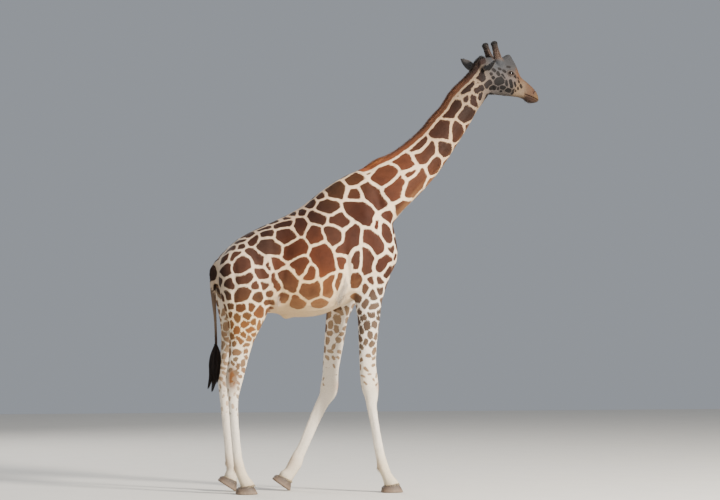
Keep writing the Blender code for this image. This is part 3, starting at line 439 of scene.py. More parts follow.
# folds of the face: line as x and z on the skull, width, depth, least distance from the middle
faceFolds = {
    "mouth": (((0.696, -0.315), (0.655, -0.301), (0.610, -0.287), (0.560, -0.270), (0.502, -0.254)),
              0.0035, 0.010, 0),
    "lipCorner": (((0.498, -0.238), (0.491, -0.256), (0.497, -0.274)), 0.004, 0.004, 0.03),
    "underLip": (((0.640, -0.322), (0.590, -0.307), (0.545, -0.296), (0.515, -0.290)), 0.007, 0.003, 0.02),
    "nostril": (((0.638, -0.205), (0.620, -0.213), (0.602, -0.228), (0.595, -0.241)), 0.0050, 0.013, 0.02),
    "wing": (((0.618, -0.190), (0.596, -0.202), (0.580, -0.220), (0.577, -0.240)), 0.006, 0.004, 0.02),
    "upperLid": (((0.258, -0.060), (0.274, -0.045), (0.296, -0.041), (0.318, -0.052)), 0.0035, 0.0020, 0.05),
    "browFold": (((0.250, -0.046), (0.272, -0.030), (0.300, -0.027), (0.328, -0.042)), 0.004, 0.003, 0.05),
    "lowerLid": (((0.262, -0.090), (0.284, -0.104), (0.306, -0.103), (0.322, -0.092)), 0.003, 0.0012, 0.05),
    "pouch": (((0.258, -0.100), (0.284, -0.116), (0.312, -0.114), (0.336, -0.098)), 0.004, 0.002, 0.05),
    "tearTrough": (((0.318, -0.084), (0.332, -0.096), (0.346, -0.116)), 0.004, 0.004, 0.05),
    "cheekEdge": (((0.100, -0.120), (0.088, -0.170), (0.100, -0.225)), 0.012, 0.005, 0.04),
    "temple": (((0.200, -0.030), (0.225, -0.050), (0.240, -0.080)), 0.016, 0.005, 0.05),
}
# the same on the body, as x and z on its side
bodyFolds = {
    "elbow": (((0.238, 1.960), (0.214, 2.080), (0.196, 2.230)), 0.020, 0.010, 0.20),
    "flank": (((-0.440, 1.830), (-0.425, 1.960), (-0.400, 2.080)), 0.026, 0.008, 0.15),
    "throat": (((1.640, 3.900), (1.664, 3.858), (1.690, 3.820)), 0.012, 0.005, 0.03),
    "underThroat": (((1.585, 3.850), (1.610, 3.800), (1.640, 3.752)), 0.014, 0.004, 0.03),
    "windpipe": (((1.500, 3.650), (1.300, 3.350), (1.080, 3.040), (0.880, 2.800)), 0.020, 0.006, 0.03),
    "vein": (((1.480, 3.720), (1.250, 3.420), (1.020, 3.120), (0.800, 2.860)), 0.014, 0.004, 0.05),
    "breast": (((0.700, 2.640), (0.690, 2.500), (0.720, 2.380)), 0.024, 0.006, 0.05),
    "haunch": (((-0.500, 2.380), (-0.480, 2.200), (-0.470, 2.020)), 0.034, 0.006, 0.18),
}
tendons = {
    "top": 0.80,
    "bottom": 0.36,
    "turns": (-0.60, math.pi + 0.60),  # behind the middle of each side
    "width": 0.30,
    "depth": 0.005,
}
earShape = {
    "foot": np.array((0.010, 0.076, -0.045)),
    "tips": {left: np.array((-0.082, 0.208, 0.084)), right: np.array((0.031, -0.242, 0.028))},
    "width": 0.086,
    "thickness": 0.009,
    "rootThickness": 0.018,
    "across": 15,
    "outline": ((0.00, 0.50), (0.12, 0.62), (0.28, 0.88), (0.45, 1.00), (0.62, 0.92), (0.78, 0.68),
                (0.91, 0.36), (1.00, 0.07)),
}
# where each horn comes out of the skull: x, y, z and radius
hornBase = ((0.196, 0.034, -0.020, 0.048), (0.181, 0.063, 0.038, 0.052), (0.172, 0.066, 0.066, 0.046),
            (0.164, 0.068, 0.090, 0.033))
lids = {
    "out": (0.22, 0.97, 0.06),  # the way the left eye looks
    "slope": -0.20,
    "cover": 0.0034,  # how thick a lid lies on the eye
    "soft": 0.006,
    "halfWide": 0.0245,
    "upper": 0.0150,
    "lower": 0.0110,
    "pointed": 1.25,
}
hoofShape = {
    "length": 0.208,
    "width": 0.152,
    "cleft": 0.007,
    "coronetFront": (0.060, 0.090),  # forwards from the hoof's middle, and up
    "coronetBack": (-0.082, 0.064),
    "steps": 40,
    "rows": 22,
    "edge": 0.004,
    # height, how far the outline has drawn in at the toe, the heel and the side
    "levels": ((0.000, 0.006, 0.004, 0.005), (0.007, 0.000, 0.000, 0.000), (0.045, 0.020, 0.004, 0.006)),
    "top": (0.047, 0.018, 0.014),
}
feet = {
    # side, middle of the sole, place across, pitch
    "foreleg_right": (right, (0.660, 0.000), 0.219, 0.0),
    "foreleg_left": (left, (-0.334, 0.0490), 0.230, math.radians(35.0)),
    "hindleg_right": (right, (-0.724, 0.000), 0.205, 0.0),
    "hindleg_left": (left, (-0.857, 0.0465), 0.218, math.radians(33.0)),
}
bodyParts = {
    "trunk": ribRows(trunkRibs),
    "neck": ribRows(neckRibs),
    "head": ribRows(headRibs),
    "foreleg_right": ribRows(foreRightRibs, right),
    "foreleg_left": ribRows(foreLeftRibs, left),
    "hindleg_right": ribRows(hindRightRibs, right),
    "hindleg_left": ribRows(hindLeftRibs, left),
    "tail": ribRows(tailRibs),
}


def swellPush(points, swellings):
    push = np.zeros(len(points))
    for (x, y, z), reach, height in swellings:
        steps = (onLeft(points) - (x, y, z)) / reach
        push += height * np.exp(-np.minimum((steps**2).sum(axis=1), 50))
    return push


# How far the folds draw the surface in.
def foldPush(points, folds):
    push = np.zeros(len(points))
    flat = points[:, (0, 2)]
    for line, width, depth, least in folds.values():
        away = farFromLine(flat, line)
        push -= depth * np.exp(-((away / width) ** 2)) * ramp(abs(points[:, 1]), least - 0.01, least + 0.01)
    return push


def joinedBody():
    points, faces = [], []
    fullness = {"trunk": 2.25, "head": 2.5}
    for name, rows in bodyParts.items():
        if name == "tail":
            rows = ribRows(tailRibs[:skin["dockRibs"]])
        rings = ribRings(rows, 28, fullness.get(name, 2.15))
        more, its = loft(rings)
        if name == "head":
            more = fromHead(more)
        faces += [[k + len(points) for k in face] for face in its]
        points += more.tolist()
    body = makeObject("body", makeMesh("body", points, faces))
    remesh = body.modifiers.new("join", "REMESH")
    remesh.mode = "VOXEL"
    remesh.voxel_size = skin["grain"]
    mesh = settled(body)
    whole = np.ones(len(mesh.vertices))
    for _ in range(skin["evenings"]):  # in and out again, so that nothing shrinks
        relax(mesh, whole, 1)
        relax(mesh, whole * -1.04, 1)
    pushOut(mesh, swellPush(pointsOf(mesh), bodySwellings))
    pushOut(mesh, swellPush(toHead(pointsOf(mesh)), headSwellings))
    return mesh


# Splits the faces where the points chosen are, into cuts + 1 each way.
def refine(mesh, chosen, cuts):
    work = bmesh.new()
    work.from_mesh(mesh)
    edges = [edge for edge in work.edges if all(chosen[vert.index] for vert in edge.verts)]
    bmesh.ops.subdivide_edges(work, edges=edges, cuts=cuts, use_grid_fill=True)
    bmesh.ops.triangulate(work, faces=[face for face in work.faces if len(face.verts) > 4])
    work.to_mesh(mesh)
    work.free()


def aroundHead(points, margin=0.0):
    place = toHead(points)
    onHead = (place[:, 0] > -0.05 - margin) & (place[:, 2] > -0.36 - margin)
    return onHead & (points[:, 2] > skull["level"])


def onFeatures(points):
    place = toHead(points)
    eye = np.linalg.norm(onLeft(place) - skull["eyeAt"], axis=1) < skin["fineRoundEye"]
    muzzle = (place[:, 0] > skin["fineMuzzle"]) & (points[:, 2] > skull["level"])
    return eye | muzzle


def eyeAxes(side):
    out = unit(mirrored(lids["out"], side))
    along = np.array((1.0, 0.0, lids["slope"]))
    along = unit(along - out * (along @ out))
    up = np.cross(out, along)
    return out, along, up * np.sign(up[2])


# How far outside the eye's opening a place on the skull lies, where 1 is the rim.
def eyeOval(place):
    out, along, up = eyeAxes(left)
    away = onLeft(place) - skull["eyeAt"]
    high = away @ up
    oval = np.hypot(away @ along / lids["halfWide"], high / np.where(high > 0, lids["upper"], lids["lower"]))
    return np.where(away @ out > 0.004, oval, 9.0)


# The skin is drawn over each eye as a lid would be.
def coverEyes(mesh):
    points = toHead(pointsOf(mesh))
    for side, _ in sides:
        centre = mirrored(skull["eyeAt"], side)
        away = points - centre
        far = np.linalg.norm(away, axis=1)
        rim = skull["eyeRadius"] + lids["cover"]
        gap = far - rim
        wanted = rim + 0.5 * (gap + np.sqrt(gap**2 + lids["soft"] ** 2))
        near = ramp(far, rim + 0.022, rim + 0.006) * ramp(away @ eyeAxes(side)[0], -0.012, 0.004)
        points += away / np.maximum(far, 1e-6)[:, None] * ((wanted - far) * near)[:, None]
    setPoints(mesh, fromHead(points))


def almond(side, grown, depth):
    out, along, up = eyeAxes(side)
    turn = 2 * np.pi * np.arange(36) / 36
    across = lids["halfWide"] * grown * np.cos(turn)
    height = np.where(np.sin(turn) > 0, lids["upper"], lids["lower"]) * grown
    height = height * np.sign(np.sin(turn)) * abs(np.sin(turn)) ** lids["pointed"]
    centre = mirrored(skull["eyeAt"], side) + out * depth
    return centre + across[:, None] * along + height[:, None] * up


def sphereRings(radius, steps=18, around=36):
    tilt = np.pi * (np.arange(steps) + 0.5) / steps
    turn = 2 * np.pi * np.arange(around) / around
    x = radius * np.sin(tilt)[:, None] * np.cos(turn)
    y = radius * np.sin(tilt)[:, None] * np.sin(turn)
    z = np.repeat(radius * np.cos(tilt)[:, None], around, axis=1)
    return np.stack((x, y, z), axis=-1)


# One closed mesh added to, or taken from, another.
def boolean(mesh, others, operation):
    for other in others:
        kept = makeObject("kept", mesh)
        tool = makeObject("tool", other)
        cut = kept.modifiers.new("cut", "BOOLEAN")
        cut.operation = operation
        cut.solver = "MANIFOLD"
        cut.object = tool
        mesh = settled(kept)
        bpy.data.objects.remove(tool)
    return mesh


def earRings(side):
    rows = splineRows(earShape["outline"], 4)
    foot = mirrored(earShape["foot"], side)
    tip = earShape["tips"][side]
    length = np.linalg.norm(tip - foot)
    way = (tip - foot) / length
    hollow = np.array((0.80, 0.10 * side, -0.30))
    hollow = unit(hollow - way * (hollow @ way))
    across = unit(np.cross(way, hollow))
    s = np.linspace(-1, 1, earShape["across"])[:, None]
    edge = 1 - 0.80 * s * s
    rings = []
    for share, broad in rows:
        half = earShape["width"] / 2 * broad
        curl = 0.55 * (1 - 0.5 * share) * half
        thick = earShape["thickness"] * (1.3 - 0.7 * share)
        thick += earShape["rootThickness"] * math.exp(-((share / 0.16) ** 2))
        line = foot + way * length * share + across * half * s + hollow * curl * s * s
        outer = line - hollow * thick * edge
        inner = line + hollow * thick * 0.15 * edge
        rings.append(np.concatenate((outer, inner[::-1][1:-1])))
    return np.array(rings), (foot, tip, hollow, across)


def footFrame(name):
    side, sole, y, pitch = feet[name]
    return Matrix.Translation((sole[0], y * side, sole[1])) @ Matrix.Rotation(pitch, 4, "Y")


def coronetPlane(name):
    at = footFrame(name)
    front = at @ Vector((hoofShape["coronetFront"][0], 0, hoofShape["coronetFront"][1]))
    back = at @ Vector((hoofShape["coronetBack"][0], 0, hoofShape["coronetBack"][1]))
    up = (front - back).normalized().cross(Vector((0, 1, 0)))
    return front, up if up.z > 0 else -up


# Each leg ends a little way down inside its hoof.
def trimFeet(mesh, sunk=0.008):
    work = bmesh.new()
    work.from_mesh(mesh)
    for name, (side, sole, y, _) in feet.items():
        front, up = coronetPlane(name)
        faces = [
            face for face in work.faces
            if abs(face.verts[0].co.x - sole[0]) < 0.20
            and abs(face.verts[0].co.y - y * side) < 0.13
            and face.verts[0].co.z < 0.30
        ]
        parts = dict.fromkeys(part for face in faces for part in (*face.verts, *face.edges))  # in order
        bmesh.ops.bisect_plane(
            work, geom=[*faces, *parts], plane_co=front - up * sunk, plane_no=up, clear_inner=True
        )
        rims = [edge for edge in work.edges if edge.is_boundary]
        bmesh.ops.holes_fill(work, edges=rims, sides=0)
    bmesh.ops.triangulate(work, faces=work.faces)
    bmesh.ops.recalc_face_normals(work, faces=work.faces)
    work.to_mesh(mesh)
    work.free()


# The middle line of each part, with its axes and half widths, to say where a point lies on it.
def middleLines():
    lines = {}
    for name, rows in bodyParts.items():
        middle = np.stack(((rows[:, 0] + rows[:, 2]) / 2, rows[:, 4], (rows[:, 1] + rows[:, 3]) / 2), axis=1)
        reach = np.stack((rows[:, 0] - rows[:, 2], 0 * rows[:, 0], rows[:, 1] - rows[:, 3]), axis=1) / 2
        tall = np.linalg.norm(reach, axis=1)
        side = np.tile((0.0, 1.0, 0.0), (len(rows), 1))
        way = unit(np.gradient(middle, axis=0))
        up = reach / tall[:, None]
        if name == "head":
            middle = fromHead(middle)
            way, up, side = (axis @ headAxes.T for axis in (way, up, side))
        lines[name] = (middle, way, up, side, tall, rows[:, 5])
    for side, word in sides:
        _, (foot, tip, hollow, across) = earRings(side)
        share = np.linspace(0.18, 1, 12)[:, None]
        broad = earShape["width"] / 2 * np.interp(share[:, 0], *zip(*earShape["outline"]))
        axes = [np.tile(axis @ headAxes.T, (12, 1)) for axis in (unit(tip - foot), across, hollow)]
        thick = np.full(12, 0.022)
        lines[f"ear_{word}"] = (fromHead(foot + (tip - foot) * share), *axes, broad + 0.004, thick)
    return lines


middles = middleLines()
partNames = list(middles)


# The part of the body's name, share along it, turn round it and the lie of the hair, for each point.
def bodyPlaces(points):
    far = np.empty((len(partNames), len(points)))
    along = np.empty_like(far)
    turn = np.empty_like(far)
    ways = np.empty((*far.shape, 3))
    for k, name in enumerate(partNames):
        middle, way, up, side, tall, broad = middles[name]
        spacing = np.linalg.norm(np.diff(middle, axis=0), axis=1).mean()
        reach = np.maximum(0.35 * (tall + broad), spacing)
        for start in range(0, len(points), 20000):
            some = points[start : start + 20000]
            away = some[:, None] - middle[None]
            a = (away * up).sum(axis=2) / tall
            b = (away * side).sum(axis=2) / broad
            c = (away * way).sum(axis=2) / reach
            total = a * a + b * b + c * c
            best = total.argmin(axis=1)
            pick = np.arange(len(some)), best
            area = slice(start, start + len(some))
            far[k, area] = np.sqrt(total[pick])
            along[k, area] = np.clip((best + c[pick] * reach[best] / spacing) / (len(middle) - 1), 0, 1)
            turn[k, area] = np.arctan2(a[pick], b[pick])
            ways[k, area] = way[best]
    part = far.argmin(axis=0)
    everywhere = np.arange(len(points))
    lie = {"trunk": -1, "neck": -1, "head": -1}
    flow = np.zeros((len(points), 3))
    weights = np.exp(-9 * (far - far.min(axis=0)))
    for k, name in enumerate(partNames):  # near the bounds of two parts their ways blend
        way = ways[k] * lie.get(name, 1)
        if name == "trunk":
            sag = 0.9 * ramp(np.cos(turn[k]) ** 2, 0.2, 1.0)[:, None]
            way = unit(way - sag * np.array((0, 0, 1.0)))
        flow += way * weights[k][:, None]
    for side, _ in sides:  # it runs up each horn's foot
        up = unit(mirrored(hornBase[-1], side) - mirrored(hornBase[1], side))
        flow += 3 * ramp(hornFar(points, side), 0.072, 0.050)[:, None] * (headAxes @ up)
    return np.array(partNames)[part], along[part, everywhere], turn[part, everywhere], unit(flow)


def onLegs(names):
    return np.char.find(names, "leg") >= 0


def hornFar(points, side):
    return farFromLine(toHead(points), [mirrored(row, side) for row in hornBase[1:3]])


def coatDepth(points):
    depth = np.full(len(points), skin["bodyDepth"])
    depth += (skin["legDepth"] - skin["bodyDepth"]) * ramp(points[:, 2], 1.7, 1.1)
    depth += (skin["headDepth"] - depth) * headShare(points, -0.08, 0.06)
    depth += (skin["muzzleDepth"] - depth) * headShare(points, 0.40, 0.56)
    return depth * (1 - ramp(eyeOval(toHead(points)), 2.8, 1.9))


def tendonPush(points):
    names, _, turn, _ = bodyPlaces(points)
    strip = ramp(points[:, 2], tendons["bottom"] - 0.04, tendons["bottom"] + 0.04)
    strip = strip * ramp(points[:, 2], tendons["top"] + 0.04, tendons["top"] - 0.04)
    push = np.zeros(len(points))
    for at in tendons["turns"]:
        off = np.angle(np.exp(1j * (turn - at)))
        push -= tendons["depth"] * np.exp(-((off / tendons["width"]) ** 2))
    return push * strip * onLegs(names)


def makeSkin():
    mesh = joinedBody()
    points = pointsOf(mesh)
    pushOut(mesh, foldPush(points, bodyFolds) + tendonPush(points))
    refine(mesh, aroundHead(pointsOf(mesh)), 2)
    relax(mesh, aroundHead(pointsOf(mesh), -0.02).astype(float), 5)
    refine(mesh, onFeatures(pointsOf(mesh)), 1)
    relax(mesh, onFeatures(pointsOf(mesh)).astype(float), 3)
    coverEyes(mesh)
    points = pointsOf(mesh)
    pushOut(mesh, foldPush(toHead(points), faceFolds) * headShare(points, -0.06, 0.02) - coatDepth(points))
    print("skin drawn:", len(mesh.vertices), "points")

    added = []
    for side, _ in sides:
        rings, _ = earRings(side)
        points, faces = loft(rings)
        added.append(makeMesh("ear", fromHead(points), faces))
        rows = [(*mirrored(row, side), row[3]) for row in hornBase]
        points, faces = loft(strandRings(splineRows(rows, 4), 32))
        added.append(makeMesh("horn base", fromHead(points), faces))
    rows = ribRows(tailRibs[1:], perSpan=8)
    points, faces = loft(ribRings(rows, 20))
    added.append(makeMesh("tail", points, faces))
    mesh = boolean(mesh, added, "UNION")
    points = pointsOf(mesh)
    root = np.zeros(len(points))
    for side, _ in sides:
        foot = fromHead(mirrored(earShape["foot"], side))
        root = np.maximum(root, ramp(np.linalg.norm(points - foot, axis=1), 0.070, 0.035))
        root = np.maximum(root, ramp(hornFar(points, side), 0.080, 0.060))
    root = np.maximum(root, 0.8 * ramp(farFromLine(points, ((-1.0, 0, 2.20), (-1.02, 0, 1.96))), 0.07, 0.05))
    relax(mesh, root, 6)

    cutters = []
    for side, _ in sides:
        rings = [almond(side, 0.98, 0.012), almond(side, 1.0, skull["eyeRadius"]), almond(side, 1.5, 0.06)]
        cutters.append(makeMesh("opening", *loftInHead(np.array(rings))))
        ball = sphereRings(skull["eyeRadius"] + 0.0008) + mirrored(skull["eyeAt"], side)
        cutters.append(makeMesh("socket", *loftInHead(ball)))
    mesh = boolean(mesh, cutters, "DIFFERENCE")
    trimFeet(mesh)
    print("skin joined:", len(mesh.vertices), "points,", len(mesh.polygons), "faces")
    return mesh


def loftInHead(rings):
    points, faces = loft(rings)
    return fromHead(points), faces

# Patches given for the right side: reach, and x and z of two or three points that it reaches round
markedPatches = {
    "neck": (
        (0.052, 1.49, 3.95, 1.41, 3.85), (0.031, 1.43, 3.80, 1.43, 3.78), (0.036, 1.50, 3.78, 1.50, 3.74),
        (0.053, 1.23, 3.63, 1.32, 3.71), (0.056, 1.42, 3.60, 1.45, 3.65), (0.082, 1.14, 3.44, 1.19, 3.48),
        (0.058, 1.31, 3.46, 1.35, 3.42), (0.048, 0.89, 3.30, 0.98, 3.34), (0.058, 0.97, 3.18, 1.06, 3.27),
        (0.053, 1.18, 3.29, 1.24, 3.25), (0.067, 0.78, 3.17, 0.82, 3.13), (0.048, 1.11, 3.14, 1.06, 3.06),
        (0.033, 0.84, 3.03, 0.88, 3.05), (0.072, 0.88, 2.87, 0.96, 2.99), (0.059, 0.55, 2.99, 0.65, 3.02),
        (0.057, 0.67, 2.84, 0.75, 2.94), (0.054, 0.30, 2.96, 0.35, 2.97), (0.047, 0.26, 2.81, 0.32, 2.83),
        (0.060, 0.43, 2.87, 0.55, 2.74), (0.051, 0.71, 2.67, 0.82, 2.72),
    ),
    "shoulder": (
        (0.074, 0.14, 2.86, 0.15, 2.83), (0.083, 0.26, 2.69, 0.43, 2.60),
        (0.062, 0.09, 2.56, 0.19, 2.55, 0.15, 2.62), (0.071, 0.05, 2.47, 0.09, 2.40),
        (0.066, 0.28, 2.46, 0.19, 2.31, 0.17, 2.29), (0.040, 0.27, 2.25, 0.26, 2.15),
        (0.043, 0.15, 2.19, 0.15, 2.15), (0.066, 0.42, 2.43, 0.50, 2.33), (0.036, 0.56, 2.52, 0.63, 2.38),
        (0.047, 0.52, 2.13, 0.62, 2.23), (0.057, 0.39, 2.24, 0.40, 2.10), (0.036, 0.57, 2.05, 0.62, 2.12),
        (0.045, 0.28, 2.01, 0.30, 2.01), (0.017, 0.70, 2.26, 0.71, 2.19),
    ),
    "barrel": (
        (0.025, -0.01, 2.80, 0.00, 2.80), (0.037, -0.10, 2.74, -0.09, 2.72),
        (0.064, 0.00, 2.69, 0.10, 2.70), (0.035, -0.20, 2.64, -0.19, 2.64),
        (0.054, -0.11, 2.61, -0.03, 2.58), (0.023, -0.28, 2.63, -0.27, 2.63),
        (0.055, -0.23, 2.55, -0.23, 2.47), (0.034, -0.42, 2.50, -0.33, 2.54),
        (0.012, -0.39, 2.58, -0.32, 2.59), (0.069, -0.11, 2.47, -0.09, 2.41),
        (0.056, -0.39, 2.42, -0.31, 2.42), (0.061, -0.34, 2.25, -0.22, 2.32),
        (0.078, -0.06, 2.26, -0.01, 2.13), (0.045, -0.29, 2.14, -0.23, 2.17, -0.25, 2.09),
        (0.034, -0.18, 2.03, -0.15, 2.09), (0.062, -0.39, 2.04, -0.34, 1.96),
        (0.062, -0.17, 1.91, -0.12, 1.90), (0.030, 0.05, 2.02, 0.00, 1.87),
        (0.032, -0.38, 1.85, -0.37, 1.84), (0.043, -0.28, 1.81, -0.26, 1.79),
        (0.033, -0.06, 1.79, -0.04, 1.79), (0.042, -0.49, 2.17, -0.43, 2.13),
        (0.017, -0.48, 2.05, -0.45, 1.94),
    ),
    "haunch": (
        (0.062, -0.58, 2.31, -0.48, 2.31), (0.026, -0.56, 2.42, -0.48, 2.44),
        (0.014, -0.61, 2.47, -0.50, 2.49), (0.040, -0.70, 2.35, -0.66, 2.37),
        (0.017, -0.80, 2.36, -0.75, 2.38), (0.031, -0.79, 2.30, -0.77, 2.32),
        (0.054, -0.70, 2.24, -0.65, 2.18), (0.062, -0.80, 2.11, -0.77, 2.17),
        (0.026, -0.88, 2.20, -0.81, 2.24), (0.039, -0.62, 2.08, -0.59, 2.03),
        (0.048, -0.81, 1.99, -0.75, 2.00), (0.035, -0.67, 1.94, -0.65, 1.94),
        (0.052, -0.94, 2.12, -0.93, 2.05), (0.049, -0.91, 1.99, -0.90, 1.94),
        (0.035, -0.92, 1.88, -0.91, 1.84), (0.052, -0.82, 1.85, -0.76, 1.87),
        (0.048, -0.67, 1.82, -0.63, 1.84), (0.024, -0.54, 2.16, -0.54, 2.13),
        (0.039, -0.80, 1.75, -0.79, 1.73), (0.031, -0.70, 1.77, -0.69, 1.75),
        (0.031, -0.61, 1.72, -0.61, 1.69), (0.034, -0.89, 1.77, -0.88, 1.74),
    ),
}
# the same for the spots of the face, on the skull
faceSpots = (
    (0.033, -0.042, -0.060, -0.033, -0.120), (0.016, -0.056, -0.155, -0.056, -0.160),
    (0.020, 0.022, -0.201, 0.056, -0.172), (0.022, -0.075, -0.254, -0.034, -0.227),
    (0.012, 0.095, -0.119, 0.099, -0.121), (0.011, 0.076, -0.083, 0.079, -0.086),
    (0.012, 0.148, -0.069, 0.161, -0.092), (0.027, 0.145, -0.161, 0.184, -0.140),
    (0.010, 0.198, -0.090, 0.217, -0.121), (0.012, 0.239, -0.151, 0.248, -0.184),
    (0.013, 0.291, -0.143, 0.312, -0.193), (0.009, 0.345, -0.154, 0.365, -0.181),
    (0.009, 0.332, -0.075, 0.362, -0.101), (0.016, 0.074, -0.219, 0.122, -0.217),
    (0.012, 0.156, -0.219, 0.162, -0.223), (0.015, 0.187, -0.211, 0.236, -0.218),
    (0.015, 0.252, -0.226, 0.304, -0.235), (0.009, 0.201, -0.245, 0.207, -0.247),
    (0.012, 0.349, -0.254, 0.352, -0.224), (0.013, -0.034, -0.282, -0.046, -0.330),
    (0.009, 0.401, -0.129, 0.414, -0.142), (0.010, 0.438, -0.169, 0.455, -0.187),
    (0.009, 0.215, -0.045, 0.232, -0.055), (0.008, 0.262, -0.005, 0.285, -0.008),
    (0.011, 0.105, -0.040, 0.122, -0.052), (0.009, 0.165, -0.028, 0.182, -0.034),
    (0.007, 0.395, -0.100, 0.408, -0.110), (0.008, 0.402, -0.195, 0.414, -0.208),
    (0.007, 0.372, -0.222, 0.384, -0.230),
)
markings = {
    "netLine": 0.0112,  # half the width of the pale lines between patches
    "wideLine": 0.0145,  # the same on the neck and shoulder
    "growth": 0.045,  # how far a patch may grow past its reach
    "neckGrowth": 0.062,
    "faceSize": 1.60,
    "otherSide": 0.05,  # how far a patch moves when it is mirrored
    "tries": 42000,
    "elbow": ((0.215, 2.13), (0.180, 1.98), (0.150, 1.86), (0.120, 1.80)),
    "elbowReach": 0.042,
    # x, and how far the dark stripe of the mane reaches under the hair's tips
    "maneStripe": ((0.38, 0.030), (0.50, 0.070), (0.80, 0.066), (1.20, 0.066), (1.45, 0.066), (1.66, 0.085)),
    "maneLine": 0.020,  # width of the pale line below it
    "bend": ((0.14, 0.020), (0.035, 0.0055), (0.016, 0.0025)),  # grain and size of the wavering of the edges
}
# The patches that no hand has placed: how far apart they stand, and how large they are for that.
scattered = {
    "top": (0.125, 0.36),
    "body": (0.150, 0.36),
    "legs": ((2.10, 0.105, 0.40), (1.75, 0.074, 0.38), (1.50, 0.058, 0.37), (1.25, 0.052, 0.32),
             (1.00, 0.052, 0.19), (0.72, 0.052, 0.08)),  # by level
    "legGrowth": ((1.15, 0.002), (1.35, 0.008), (1.60, 0.020)),
    "lowest": {"fore": 1.0, "hind": 0.72},
    "frontLowest": 1.40,  # the front of a leg is bare below this
    "innerHighest": 1.75,  # and its inner side above this
}


# Patches as (reach, growth, line of points on the surface).
def placePatches(mesh, points, normals, names, turn):
    tree = treeOf(mesh)
    patches = []

    def cast(x, z, side):
        hit, _ = fromSide(tree, x, z, side)
        return np.array(hit) if hit else np.array((x, 0, z))

    for region, rows in markedPatches.items():
        growth = markings["neckGrowth" if region == "neck" else "growth"]
        for reach, *flat in rows:
            line = np.reshape(flat, (-1, 2))
            patches.append((reach, growth, [cast(x, z, right) for x, z in line]))
            dx, dz = chance.normal(0, markings["otherSide"], 2) * (0.6 if region == "neck" else 1)
            reach *= chance.uniform(0.85, 1.1)
            patches.append((reach, growth, [cast(x + dx, z + dz, left) for x, z in line]))
    for reach, *flat in faceSpots:
        reach *= markings["faceSize"]
        for side, _ in sides:
            moved = chance.normal(0, 0.006, 2) * (side == left)
            spots = []
            for x, z in np.reshape(flat, (-1, 2)):
                far = fromHead((x + moved[0], 0.35 * side, z + moved[1]))
                hit = tree.ray_cast(Vector(far), Vector(headAxes @ (0, -side, 0)))
                spots.append(np.array(hit[0]) if hit[0] else far)
            patches.append((reach, 0.0, spots))
    print("patches placed by hand:", len(patches))

    taken = np.array([np.mean(line, axis=0) for _, _, line in patches])
    reaches = np.array([reach for reach, _, _ in patches])
    inner = onLegs(names) & (normals[:, 1] * np.sign(points[:, 1]) < -0.35)
    belly = (names == "trunk") & (normals[:, 2] < -0.45)
    for k in chance.integers(0, len(points), markings["tries"]):
        z = points[k][2]
        name = names[k]
        growth = markings["growth"]
        if name in ("head", "ear_left", "ear_right", "tail") or belly[k]:
            continue
        if name in ("trunk", "neck"):
            onTop = name == "trunk" and normals[k][2] > 0.6
            apart, share = scattered["top" if onTop else "body"]
        else:
            bare = inner[k] and z > scattered["innerHighest"]
            bare |= math.sin(turn[k]) > 0.78 and z < scattered["frontLowest"]
            if bare or z < scattered["lowest"][name[:4]]:
                continue
            levels, *columns = zip(*scattered["legs"][::-1])
            apart, share = (np.interp(z, levels, column) for column in columns)
            growth = np.interp(z, *zip(*scattered["legGrowth"]))
            if "hind" in name:
                apart, share, growth = apart * 0.95, share + 0.05, growth + 0.006
            if inner[k]:
                share *= 0.8
        gap = np.linalg.norm(taken - points[k], axis=1) - reaches
        if gap.min() < apart * (1 - share):
            continue
        reach = apart * share * chance.uniform(0.75, 1.15)
        way = chance.normal(size=3)
        half = 0.16 if name in ("trunk", "neck") else 0.26
        way = unit(way - normals[k] * (way @ normals[k])) * apart * half
        line = [points[k] - way, points[k] + way]
        patches.append((reach * 0.85, growth, line))
        taken = np.vstack((taken, points[k]))
        reaches = np.append(reaches, reach)
    print("patches in all:", len(patches))
    return patches


# Signed depth inside the nearest patch, in metres, and that patch's number.
def patchField(points, patches):
    bent = points.copy()
    for k, (grain, size) in enumerate(markings["bend"]):
        scale = size * (1 - 0.75 * headShare(points, -0.10, 0.0))
        waver = np.stack([noise(points, grain, 31 * k + axis) for axis in range(3)], axis=1)
        bent += waver * scale[:, None]
    first = np.full(len(points), 9.0)
    second = np.full(len(points), 9.0)
    growth = np.zeros(len(points))
    owner = np.zeros(len(points), int)
    for number, (reach, grow, line) in enumerate(patches):
        middle = np.mean(line, axis=0)
        span = max(np.linalg.norm(point - middle) for point in line) + reach + 0.16
        near = np.flatnonzero((np.abs(points - middle) < span).all(axis=1))
        away = farFromLine(bent[near], line) - reach
        closer = away < first[near]
        second[near] = np.where(closer, first[near], np.minimum(second[near], away))
        hit = near[closer]
        first[hit] = away[closer]
        growth[hit] = grow
        owner[hit] = number
    wide = ramp(points[:, 0], 0.0, 0.25) * ramp(points[:, 2], 1.9, 2.1)
    wide *= ramp(points[:, 0], 1.35, 0.95)
    half = markings["netLine"] + (markings["wideLine"] - markings["netLine"]) * wide
    half *= 1 - 0.48 * ramp(points[:, 2], 1.85, 1.60)
    half *= 1 - 0.70 * headShare(points, -0.12, -0.02)
    return np.minimum((second - first) / 2 - half, growth - first), owner


